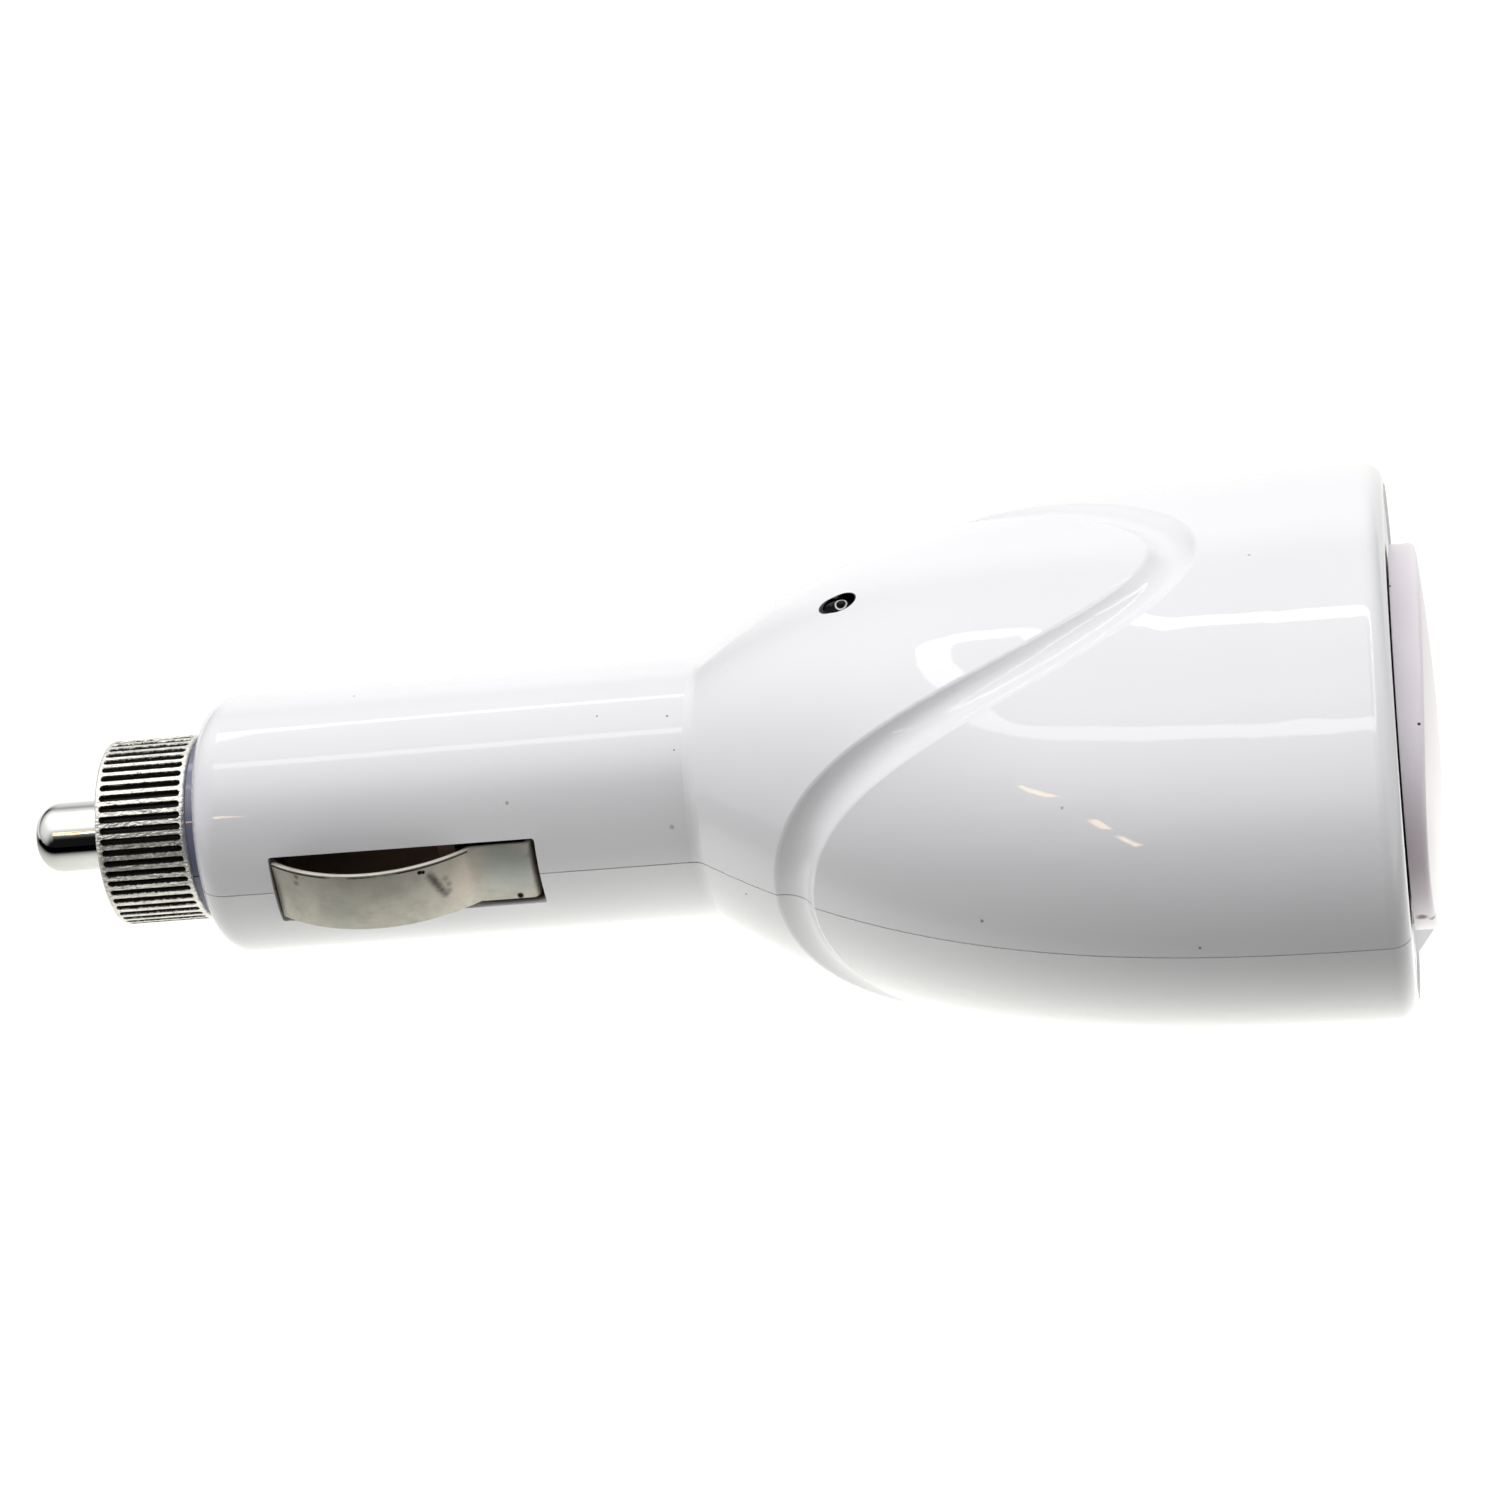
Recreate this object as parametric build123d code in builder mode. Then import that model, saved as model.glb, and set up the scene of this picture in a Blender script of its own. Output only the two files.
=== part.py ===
"""Car charger plug with two outlets under a lid: +X runs along the plug towards the outlets, +Z is up.

The origin is on the plug's axis, where the straight barrel ends at the head. Near is the -Y side.
"""

from build123d import *

import math
import os

os.makedirs("parts", exist_ok=True)

# Barrel that goes into the vehicle's socket
barrel_d = 20.6
barrel_len = 39.2
barrel_draft = 0.1
barrel_root_len = 11.4
barrel_end_round = 2.3
neck_len = 0.6
neck_round = 1.5
wall = 1.8
seam = 0.1

# Oval head
head_len = 54.0
head_w = 55.9
head_h = 35.9
width_flare = 2.75
height_flare = 4.8
head_sections = 10
rim_round = 1.6

# Wave groove round the head: furthest forward at the sides, furthest back at the top
groove_w = 3.6
groove_depth = 0.7
groove_lip_round = 0.5
groove_side_x = 8.5
groove_top_x = 38.3
groove_point = 5.5
groove_shoulder = 0.33
groove_step_deg = 6
groove_overrun_deg = 6

# Nose: collar, threaded neck, knurled ring and sprung pin
collar_d = 14.2
collar_len = 0.85
neck_d = 12.6
neck_bore_d = 9.0
ring_d = 14.65
ring_len = 7.37
ring_front_t = 1.2
ring_rim = 0.4
ring_edge_round = 0.3
flute_count = 52
flute_w = 0.58
flute_depth = 0.45
flute_slope_deg = 24
thread_clearance = 0.12
pin_d = 5.5
pin_reach = 6.75
pin_tip_round = 1.9
pin_flange_d = 8.4
pin_flange_t = 1.5
pin_travel = 3.0
slide_clearance = 0.2

# Fuse and its spring
fuse_d = 6.35
fuse_len = 30.0
fuse_cap_len = 6.0
fuse_cap_t = 0.3
fuse_glass_t = 0.6
fuse_element_d = 0.3
spring_d = 6.0
spring_wire_d = 0.7
spring_turns = 5
terminal_t = 0.9
terminal_tail_d = 1.8
terminal_tail_len = 3.0
rib_t = 1.4
guide_clearance = 0.25

# Side slots and their leaf contacts
slot_root_gap = 0.48
slot_front_margin = 6.25
slot_h = 6.0
slot_corner = 0.25
slot_depth = 5.1
leaf_w = 5.0
leaf_t = 0.4
leaf_root_gap = 0.45
leaf_tip_gap = 0.15
leaf_rise = 2.2
leaf_sink = 0.5
leaf_crest_from_front = 8.25
leaf_bend_from_rear = 5.12
leaf_tab_len = 3.2
leaf_tab_bend = 0.6

# End plate, lid and hinge
plate_t = 2.8
plate_recess = 0.2
plate_clearance = 0.15
flange_t = 1.2
flange_reach = 0.9
lid_side_margin = 8.85
lid_top_margin = 5.55
lid_t = 2.8
lid_gap = 0.25
lid_dome_r = 136.0
lid_edge_round = 0.4
hinge_forward = 0.4
hinge_from_rim = 6.45
hinge_w = 16.0
ear_t = 2.0
ear_r = 1.6
ear_foot_from_rim = 2.85
knuckle_r = 1.4
knuckle_gap = 0.2
lid_chord_gap = 0.15
hinge_pin_d = 1.4
hinge_clearance = 0.08

# Outlets
outlet_pitch = 17.2
outlet_w = 13.15
outlet_h = 5.7
outlet_len = 14.0
outlet_sheet = 0.3
outlet_recess = 0.3
window_clearance = 0.15
tongue_w = 11.1
tongue_t = 1.85
tongue_len = 8.4
tongue_lift = 0.6
strip_w = 1.0
strip_t = 0.2
strip_pitch = 2.5
strip_setback = 1.0
catch_w = 1.4
catch_len = 3.6

# Circuit board and what stands on it
board_t = 1.6
board_w = 30.0
board_front_gap = 2.5
board_rear_gap = 0.4
board_corner = 5.0
post_d = 4.8
peg_d = 2.0
peg_clearance = 0.15
front_post_setback = 10.0
front_post_y = 12.2
rear_post_gap = 1.0
rear_post_y = 12.4
inductor_share = 0.45
inductor_d = 9.0
inductor_h = 6.0
inductor_flange_t = 1.2
inductor_core_d = 4.4
inductor_fill = 0.9
input_can_share = 0.26
input_can_y = -4.6
input_can_d = 6.3
input_can_h = 7.7
output_can_share = 0.59
output_can_y = 6.0
output_can_d = 5.0
output_can_h = 7.0
can_round = 0.5
chip_share = 0.26
chip_y = 4.8
chip_size = (5.0, 4.0, 1.6)
diode_share = 0.585
diode_y = -6.0
diode_size = (4.4, 2.7, 2.2)

# Indicator
led_setback = 2.6
led_d = 2.4
led_h = 5.3
led_flange_d = 3.2
led_flange_t = 1.0
led_recess = 0.1
led_dome_r = 2.5
led_hole_clearance = 0.08
led_boss_t = 1.0
led_pitch = 2.54
led_leg = 0.5

# Hook-up leads
lead_d = 1.1
lead_bend = 2.0
lead_hole_clearance = 0.3
lead_seat_gap = 0.05
lead_run = 2.82
lead_drop_len = 5.5
lead_landing = 3.5
lead_swing_gap = 0.9
positive_lead_y = 3.5
negative_lead_y = 6.2

# Places worked out from the sizes above
barrel_r = barrel_d / 2
bore_r = barrel_r - wall
barrel_end_x = -barrel_len
ring_rear_x = barrel_end_x - collar_len
ring_front_x = ring_rear_x - ring_len
ring_seat_x = ring_front_x + ring_front_t
neck_tip_x = ring_seat_x + slide_clearance
pin_tip_x = ring_front_x - pin_reach
pin_flange_x = ring_seat_x + slide_clearance
fuse_front_x = pin_flange_x + pin_flange_t
fuse_rear_x = fuse_front_x + fuse_len
spring_len = 2 * spring_turns * spring_wire_d + pin_travel
terminal_x = fuse_rear_x + spring_len
rear_rib_x = terminal_x + terminal_t
guide_r = fuse_d / 2 + guide_clearance
slot_rear_x = -barrel_root_len - slot_root_gap
slot_front_x = barrel_end_x + slot_front_margin
slot_len = slot_rear_x - slot_front_x
leaf_crest_x = slot_front_x + leaf_crest_from_front
leaf_bend_x = slot_rear_x - leaf_bend_from_rear
front_rib_x = slot_front_x - 2 * rib_t
middle_rib_x = (leaf_bend_x + leaf_crest_x) / 2
leaf_root_y = barrel_r - leaf_sink
leaf_tab_x = slot_rear_x - leaf_root_gap
plate_front_x = head_len - plate_recess
plate_rear_x = plate_front_x - plate_t
lid_rear_x = plate_front_x + lid_gap
lid_w = head_w - 2 * lid_side_margin
lid_h = head_h - 2 * lid_top_margin
hinge_x = plate_front_x + hinge_forward
hinge_z = hinge_from_rim - head_h / 2
outlet_front_x = plate_front_x - outlet_recess
outlet_rear_x = outlet_front_x - outlet_len
board_top_z = -outlet_h / 2
board_bottom_z = board_top_z - board_t
tail_end_x = terminal_x + terminal_t + terminal_tail_len
lead_drop_start_x = tail_end_x + lead_run
lead_drop_end_x = lead_drop_start_x + lead_drop_len
board_front_x = lead_drop_end_x + board_front_gap
board_rear_x = plate_rear_x - board_rear_gap
board_mid_x = (board_front_x + board_rear_x) / 2
board_len = board_rear_x - board_front_x
led_x = board_front_x + led_setback
lead_z = board_top_z + lead_d / 2 + lead_seat_gap
lead_hole_r = lead_d / 2 + lead_hole_clearance
lead_end_x = board_front_x + lead_landing
negative_start_x = slot_rear_x + lead_swing_gap
post_r = post_d / 2
front_post_x = board_front_x + front_post_setback
rear_post_x = outlet_rear_x - rear_post_gap - post_r
posts = [
    (x, side * y)
    for x, y in ((front_post_x, front_post_y), (rear_post_x, rear_post_y))
    for side in (-1, 1)
]
inductor_x = board_front_x + inductor_share * board_len
input_can_place = (board_front_x + input_can_share * board_len, input_can_y)
output_can_place = (board_front_x + output_can_share * board_len, output_can_y)
chip_place = (board_front_x + chip_share * board_len, chip_y)
diode_place = (board_front_x + diode_share * board_len, diode_y)
peg_hole_r = peg_d / 2 + peg_clearance
can_places = {
    "input_capacitor": (input_can_place, input_can_d, input_can_h),
    "output_capacitor": (output_can_place, output_can_d, output_can_h),
}
chip_places = {
    "controller_chip": (chip_place, chip_size),
    "rectifier_diode": (diode_place, diode_size),
}


def flare(x, power):
    """Share of the way from the neck's size to the rim's, at a distance from the neck."""
    return 1 - (1 - min(max((x - neck_len) / (head_len - neck_len), 0), 1)) ** power


def half_width(x):
    return barrel_r + (head_w / 2 - barrel_r) * flare(x, width_flare)


def half_height(x):
    return barrel_r + (head_h / 2 - barrel_r) * flare(x, height_flare)


def oval(x, inset=0.0):
    """Cross-section of the head at a distance from the neck, drawn in by an inset."""
    with BuildSketch(Plane.YZ.offset(x)) as section:
        Ellipse(half_width(x) - inset, half_height(x) - inset)
    return section.sketch


# Sections crowd towards the neck, where the flare turns fastest
section_places = [
    neck_len + (head_len - neck_len) * (i / head_sections) ** 1.5 for i in range(head_sections + 1)
]


def wave_point(angle_deg, cutter_r):
    """Centre of the round cutter that leaves the wave groove, at an angle up from the far side."""
    across, up = math.cos(math.radians(angle_deg)), math.sin(math.radians(angle_deg))
    rise = groove_shoulder * up**2 + (1 - groove_shoulder) * abs(up) ** groove_point
    x = groove_side_x + (groove_top_x - groove_side_x) * rise
    a, b = half_width(x), half_height(x)
    step = head_len / 1000
    a_slope = (half_width(x + step) - a) / step
    b_slope = (half_height(x + step) - b) / step
    outward = Vector(-(across**2) * a_slope / a - up**2 * b_slope / b, across / a, up / b)
    return Vector(x, a * across, b * up) + outward.normalized() * (cutter_r - groove_depth)


# Outside of the housing, whole
with BuildPart() as housing_form:
    with BuildSketch(Plane.XY):
        with BuildLine():
            Polyline((neck_len, 0), (neck_tip_x, 0), (neck_tip_x, neck_d / 2), (ring_rear_x, neck_d / 2))
            Polyline((ring_rear_x, neck_d / 2), (ring_rear_x, collar_d / 2), (barrel_end_x, collar_d / 2))
            Line((barrel_end_x, collar_d / 2), (barrel_end_x, barrel_r - barrel_draft))
            Line((barrel_end_x, barrel_r - barrel_draft), (-barrel_root_len, barrel_r))
            Polyline((-barrel_root_len, barrel_r), (neck_len, barrel_r), (neck_len, 0))
        make_face()
    revolve(axis=Axis.X)
    end_edge = edges().filter_by(GeomType.CIRCLE).filter_by(
        lambda e: abs(e.radius - barrel_r + barrel_draft) < 1e-6
    )
    fillet(end_edge, barrel_end_round)
    loft([oval(x) for x in section_places])
    neck_edge = edges().filter_by(lambda e: abs(e.center().X - neck_len) < 1e-6)
    fillet(neck_edge, neck_round)
    rim_edge = edges().filter_by(lambda e: abs(e.center().X - head_len) < 1e-6)
    fillet(rim_edge, rim_round)

# Round cutter of the wave groove on the upper half
with BuildPart() as wave_cutter:
    cutter_r = (groove_w**2 / 4 + groove_depth**2) / (2 * groove_depth)
    with BuildLine():
        wave = Spline(
            *[
                wave_point(angle, cutter_r)
                for angle in range(-groove_overrun_deg, 181 + groove_overrun_deg, groove_step_deg)
            ]
        )
    with BuildSketch(Plane(origin=wave @ 0, z_dir=wave % 0)):
        Circle(cutter_r)
    sweep()

# Space inside the housing, less the ribs that guide the fuse
with BuildPart() as housing_space:
    with BuildSketch(Plane.YZ.offset(neck_tip_x)):
        Circle(neck_bore_d / 2)
    extrude(amount=barrel_end_x + wall - neck_tip_x)
    with BuildSketch(Plane.YZ.offset(barrel_end_x + wall)):
        Circle(bore_r)
    extrude(amount=barrel_len - wall + neck_len)
    loft([oval(x, wall) for x in section_places])
    with BuildSketch(Plane.YZ.offset(plate_rear_x - plate_clearance)):
        Ellipse(head_w / 2 - wall + flange_reach, head_h / 2 - wall + flange_reach)
    extrude(amount=flange_t + 2 * plate_clearance)
    for rib_x in (front_rib_x, middle_rib_x):
        with BuildSketch(Plane.YZ.offset(rib_x)):
            Circle(barrel_r)
            Circle(guide_r, mode=Mode.SUBTRACT)
        extrude(amount=rib_t, mode=Mode.SUBTRACT)
    with BuildSketch(Plane.YZ.offset(rear_rib_x)):
        Circle(barrel_r)
        Circle(terminal_tail_d / 2 + guide_clearance, mode=Mode.SUBTRACT)
        with GridLocations(2 * negative_lead_y, 0, 2, 1):
            Circle(lead_hole_r, mode=Mode.SUBTRACT)
    extrude(amount=rib_t, mode=Mode.SUBTRACT)

# Windows in the barrel for the leaf contacts
with BuildPart() as side_slots:
    with BuildSketch(Plane.XZ.offset(slot_depth)):
        with Locations(((slot_front_x + slot_rear_x) / 2, 0)):
            RectangleRounded(slot_len, slot_h, slot_corner)
    extrude(amount=barrel_r - slot_depth + leaf_rise)
    mirror(about=Plane.XZ)

# Upper shell: holds the indicator and presses the board down on its posts
with BuildPart() as upper_space:
    add(housing_space.part)
    with BuildSketch(Plane.XY.offset(board_top_z)):
        with Locations(*posts):
            Circle(post_r)
    extrude(amount=head_h, mode=Mode.SUBTRACT)
    led_tip_z = half_height(led_x) - led_recess
    led_base_z = led_tip_z - led_h
    led_seat_z = led_base_z + led_flange_t
    with BuildSketch(Plane.XY.offset(led_seat_z)):
        with Locations((led_x, 0)):
            Circle(led_d / 2 + led_hole_clearance + led_boss_t)
    extrude(amount=head_h, mode=Mode.SUBTRACT)

with BuildPart() as upper_shell:
    add(housing_form.part)
    add(upper_space.part, mode=Mode.SUBTRACT)
    split(bisect_by=Plane.XY.offset(seam / 2), keep=Keep.TOP)
    add(wave_cutter.part, mode=Mode.SUBTRACT)
    lips = edges(Select.LAST).filter_by(lambda e: e.center().Z > wall)
    fillet(lips, groove_lip_round)
    add(side_slots.part, mode=Mode.SUBTRACT)
    with BuildSketch(Plane.XY.offset(board_top_z)):
        with Locations(*posts):
            Circle(post_r)
    extrude(amount=seam - board_top_z)
    with BuildSketch(Plane.XY.offset(board_top_z)):
        with Locations(*posts):
            Circle(peg_hole_r)
    extrude(amount=-2 * board_top_z, mode=Mode.SUBTRACT)
    with BuildSketch(Plane.XY.offset(led_base_z)):
        with Locations((led_x, 0)):
            Circle(led_d / 2 + led_hole_clearance)
    extrude(amount=head_h, mode=Mode.SUBTRACT)
upper_shell.part.label = "upper_shell"
export_step(upper_shell.part, "parts/upper_shell.step")

# Lower shell: carries the board on posts with locating pegs
with BuildPart() as lower_space:
    add(housing_space.part)
    with BuildSketch(Plane.XY.offset(board_bottom_z)):
        with Locations(*posts):
            Circle(post_r)
    extrude(amount=-head_h, mode=Mode.SUBTRACT)

with BuildPart() as lower_shell:
    add(housing_form.part)
    add(lower_space.part, mode=Mode.SUBTRACT)
    split(bisect_by=Plane.XY.offset(-seam / 2), keep=Keep.BOTTOM)
    add(mirror(wave_cutter.part, about=Plane.XY, mode=Mode.PRIVATE), mode=Mode.SUBTRACT)
    lips = edges(Select.LAST).filter_by(lambda e: e.center().Z < -wall)
    fillet(lips, groove_lip_round)
    add(side_slots.part, mode=Mode.SUBTRACT)
    with BuildSketch(Plane.XY.offset(board_bottom_z)):
        with Locations(*posts):
            Circle(peg_d / 2)
    extrude(amount=board_t - board_top_z / 2)
lower_shell.part.label = "lower_shell"
export_step(lower_shell.part, "parts/lower_shell.step")

# Cutter of one flute, at the origin: it narrows inwards and has round ends
with BuildPart() as flute:
    with BuildSketch(Plane.YZ):
        SlotOverall(ring_len - 2 * ring_rim, flute_w, rotation=90)
    extrude(amount=-flute_depth, taper=flute_slope_deg)

# Knurled ring that screws on the neck and keeps pin and fuse in
with BuildPart() as nose_ring:
    with BuildSketch(Plane.YZ.offset(ring_front_x)):
        Circle(ring_d / 2)
    extrude(amount=ring_len)
    fillet(edges(), ring_edge_round)
    with BuildSketch(Plane.YZ.offset(ring_seat_x)):
        Circle(neck_d / 2 + thread_clearance)
    extrude(amount=ring_len, mode=Mode.SUBTRACT)
    with BuildSketch(Plane.YZ.offset(ring_front_x)):
        Circle(pin_d / 2 + slide_clearance)
    extrude(amount=ring_len, mode=Mode.SUBTRACT)
    with Locations(Plane.YZ.offset(ring_front_x + ring_len / 2)):
        with PolarLocations(ring_d / 2, flute_count):
            add(flute.part, mode=Mode.SUBTRACT)
nose_ring.part.label = "nose_ring"
export_step(nose_ring.part, "parts/nose_ring.step")

# Sprung centre pin with a rounded tip
with BuildPart() as centre_pin:
    with BuildSketch(Plane.XY):
        with BuildLine():
            Polyline((pin_tip_x, 0), (pin_tip_x, pin_d / 2), (pin_flange_x, pin_d / 2))
            Polyline((pin_flange_x, pin_d / 2), (pin_flange_x, pin_flange_d / 2))
            Polyline((pin_flange_x, pin_flange_d / 2), (fuse_front_x, pin_flange_d / 2), (fuse_front_x, 0))
            Line((fuse_front_x, 0), (pin_tip_x, 0))
        make_face()
    revolve(axis=Axis.X)
    tip_edge = edges().filter_by(lambda e: abs(e.center().X - pin_tip_x) < 1e-6)
    fillet(tip_edge, pin_tip_round)
centre_pin.part.label = "centre_pin"
export_step(centre_pin.part, "parts/centre_pin.step")

# Glass fuse: two caps, the tube between them and the element inside
fuse_inner_r = fuse_d / 2 - fuse_cap_t
cap_fronts = {"fuse_front_cap": (fuse_front_x, 1), "fuse_rear_cap": (fuse_rear_x, -1)}
for name, (end_x, inward) in cap_fronts.items():
    with BuildPart() as fuse_cap:
        with BuildSketch(Plane.YZ.offset(end_x)):
            Circle(fuse_d / 2)
        extrude(amount=inward * fuse_cap_len)
        with BuildSketch(Plane.YZ.offset(end_x + inward * fuse_cap_t)):
            Circle(fuse_inner_r)
        extrude(amount=inward * fuse_cap_len, mode=Mode.SUBTRACT)
    fuse_cap.part.label = name
    export_step(fuse_cap.part, f"parts/{name}.step")

with BuildPart() as fuse_glass:
    with BuildSketch(Plane.YZ.offset(fuse_front_x + fuse_cap_t)):
        Circle(fuse_inner_r)
        Circle(fuse_inner_r - fuse_glass_t, mode=Mode.SUBTRACT)
    extrude(amount=fuse_len - 2 * fuse_cap_t)
fuse_glass.part.label = "fuse_glass"
export_step(fuse_glass.part, "parts/fuse_glass.step")

with BuildPart() as fuse_element:
    with BuildSketch(Plane.YZ.offset(fuse_front_x + fuse_cap_t)):
        RegularPolygon(fuse_element_d / 2, 6)
    extrude(amount=fuse_len - 2 * fuse_cap_t)
fuse_element.part.label = "fuse_element"
export_step(fuse_element.part, "parts/fuse_element.step")

# Spring between the fuse and its terminal
with BuildPart() as fuse_spring:
    coil_r = (spring_d - spring_wire_d) / 2
    coil_len = spring_len - spring_wire_d
    with BuildLine():
        coil = Helix(
            pitch=coil_len / spring_turns,
            height=coil_len,
            radius=coil_r,
            center=(fuse_rear_x + spring_wire_d / 2, 0, 0),
            direction=(1, 0, 0),
        )
    with BuildSketch(Plane(origin=coil @ 0, z_dir=coil % 0)):
        RegularPolygon(spring_wire_d / 2, 6)
    sweep(is_frenet=True)
fuse_spring.part.label = "fuse_spring"
export_step(fuse_spring.part, "parts/fuse_spring.step")

with BuildPart() as fuse_terminal:
    with BuildSketch(Plane.YZ.offset(terminal_x)):
        Circle(spring_d / 2 + guide_clearance)
    extrude(amount=terminal_t)
    with BuildSketch(Plane.YZ.offset(terminal_x + terminal_t)):
        Circle(terminal_tail_d / 2)
    extrude(amount=terminal_tail_len)
fuse_terminal.part.label = "fuse_terminal"
export_step(fuse_terminal.part, "parts/fuse_terminal.step")

# Leaf contacts: one bent strip each side, its tab inside the rear end of the slot
for name, side in (("near_contact", -1), ("far_contact", 1)):
    with BuildPart() as leaf:
        with BuildSketch(Plane.XY):
            with BuildLine():
                FilletPolyline(
                    (leaf_tab_x, side * (leaf_root_y - leaf_tab_len)),
                    (leaf_tab_x, side * leaf_root_y),
                    (leaf_bend_x, side * leaf_root_y),
                    radius=leaf_tab_bend,
                )
                ThreePointArc(
                    (leaf_bend_x, side * leaf_root_y),
                    (leaf_crest_x, side * (barrel_r + leaf_rise)),
                    (slot_front_x + leaf_tip_gap, side * leaf_root_y),
                )
                offset(amount=leaf_t, side=Side.LEFT if side > 0 else Side.RIGHT)
            make_face()
        extrude(amount=leaf_w / 2, both=True)
    leaf.part.label = name
    export_step(leaf.part, f"parts/{name}.step")

# End plate, caught between the shells, with the two ears of the hinge
with BuildPart() as end_plate:
    plate_a = head_w / 2 - wall - plate_clearance
    plate_b = head_h / 2 - wall - plate_clearance
    with BuildSketch(Plane.YZ.offset(plate_rear_x)):
        Ellipse(plate_a, plate_b)
    extrude(amount=plate_t)
    with BuildSketch(Plane.YZ.offset(plate_rear_x)):
        Ellipse(plate_a + flange_reach, plate_b + flange_reach)
    extrude(amount=flange_t)
    ear_mid_y = (hinge_w - ear_t) / 2
    ear_front_x = hinge_x + ear_r * math.sqrt(3) / 2
    ear_foot_z = ear_foot_from_rim - head_h / 2
    for side in (-1, 1):
        with BuildSketch(Plane.XZ.offset(side * ear_mid_y)):
            with Locations((hinge_x, hinge_z)):
                Circle(ear_r)
            with BuildLine():
                Polyline(
                    (plate_front_x, hinge_z),
                    (ear_front_x, hinge_z - ear_r / 2),
                    (plate_front_x, ear_foot_z),
                    close=True,
                )
            make_face()
            with Locations((plate_front_x, hinge_z)):
                Rectangle(4 * ear_r, 8 * ear_r, align=(Align.MIN, Align.CENTER), mode=Mode.INTERSECT)
        extrude(amount=ear_t / 2, both=True)
    lid_chord_z = hinge_z + ear_r + lid_chord_gap
    with BuildSketch(Plane.YZ.offset(plate_front_x)):
        with Locations((0, hinge_z)):
            Rectangle(hinge_w - 2 * ear_t, 2 * (lid_chord_z + lid_gap - hinge_z))
    extrude(amount=hinge_x - knuckle_r - knuckle_gap - plate_front_x, mode=Mode.SUBTRACT)
    with BuildSketch(Plane.XZ.offset(-hinge_w)):
        with Locations((hinge_x, hinge_z)):
            Circle(hinge_pin_d / 2)
    extrude(amount=2 * hinge_w, mode=Mode.SUBTRACT)
    with BuildSketch(Plane.YZ.offset(plate_rear_x)):
        with GridLocations(outlet_pitch, 0, 2, 1):
            Rectangle(outlet_w + 2 * window_clearance, outlet_h + 2 * window_clearance)
    extrude(amount=plate_t, mode=Mode.SUBTRACT)
end_plate.part.label = "end_plate"
export_step(end_plate.part, "parts/end_plate.step")

# Lid: oval, gently domed, flat along the hinge, with one knuckle between the ears
with BuildPart() as outlet_lid:
    with BuildSketch(Plane.YZ.offset(lid_rear_x)):
        Ellipse(lid_w / 2, lid_h / 2)
        with Locations((0, lid_chord_z)):
            Rectangle(lid_w, lid_h, align=(Align.CENTER, Align.MIN), mode=Mode.INTERSECT)
    extrude(amount=2 * lid_t)
    with Locations((lid_rear_x + lid_t - lid_dome_r, 0, 0)):
        Sphere(lid_dome_r, mode=Mode.INTERSECT)
    fillet(faces().sort_by(Axis.X)[-1].edges(), lid_edge_round)
    knuckle_w = hinge_w - 2 * ear_t - 2 * knuckle_gap
    with BuildSketch(Plane.XZ):
        with Locations((hinge_x, hinge_z)):
            Circle(knuckle_r)
            with Locations((0, (lid_chord_z - hinge_z) / 2)):
                Rectangle(knuckle_r, lid_chord_z - hinge_z)
    extrude(amount=knuckle_w / 2, both=True)
    with BuildSketch(Plane.XZ):
        with Locations((hinge_x, hinge_z)):
            Circle(hinge_pin_d / 2 + hinge_clearance)
    extrude(amount=knuckle_w, both=True, mode=Mode.SUBTRACT)
outlet_lid.part.label = "outlet_lid"
export_step(outlet_lid.part, "parts/outlet_lid.step")

with BuildPart() as lid_hinge_pin:
    with BuildSketch(Plane.XZ):
        with Locations((hinge_x, hinge_z)):
            Circle(hinge_pin_d / 2)
    extrude(amount=hinge_w / 2, both=True)
lid_hinge_pin.part.label = "lid_hinge_pin"
export_step(lid_hinge_pin.part, "parts/lid_hinge_pin.step")

# Circuit board on the lower shell's posts
with BuildPart() as circuit_board:
    with BuildSketch(Plane.XY.offset(board_bottom_z)) as board_outline:
        with Locations((board_mid_x, 0)):
            Rectangle(board_len, board_w)
        chamfer(board_outline.vertices().group_by(Axis.X)[0], board_corner)
        with Locations(*posts):
            Circle(peg_hole_r, mode=Mode.SUBTRACT)
    extrude(amount=board_t)
circuit_board.part.label = "circuit_board"
export_step(circuit_board.part, "parts/circuit_board.step")

# Outlets: folded sheet shell and the insulator with its tongue
outlet_inner_w = outlet_w - 2 * outlet_sheet
outlet_inner_h = outlet_h - 2 * outlet_sheet
block_front_x = outlet_front_x - tongue_len - strip_setback
for name, side in (("near", -1), ("far", 1)):
    outlet_y = side * outlet_pitch / 2
    with BuildPart() as usb_shell:
        with BuildSketch(Plane.YZ.offset(outlet_rear_x)):
            with Locations((outlet_y, 0)):
                Rectangle(outlet_w, outlet_h)
                Rectangle(outlet_inner_w, outlet_inner_h, mode=Mode.SUBTRACT)
        extrude(amount=outlet_len)
        with BuildSketch(Plane.XY):
            with Locations((block_front_x + catch_len, outlet_y)):
                with GridLocations(0, outlet_w / 2, 1, 2):
                    Rectangle(catch_len, catch_w)
        extrude(amount=outlet_h, mode=Mode.SUBTRACT)
    usb_shell.part.label = f"usb_shell_{name}"
    export_step(usb_shell.part, f"parts/usb_shell_{name}.step")

    with BuildPart() as usb_insulator:
        with BuildSketch(Plane.YZ.offset(outlet_rear_x)):
            with Locations((outlet_y, 0)):
                Rectangle(outlet_inner_w, outlet_inner_h)
        extrude(amount=block_front_x - outlet_rear_x)
        with BuildSketch(Plane.YZ.offset(block_front_x)):
            with Locations((outlet_y, tongue_lift)):
                Rectangle(tongue_w, tongue_t)
        extrude(amount=tongue_len)
    usb_insulator.part.label = f"usb_insulator_{name}"
    export_step(usb_insulator.part, f"parts/usb_insulator_{name}.step")

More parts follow.
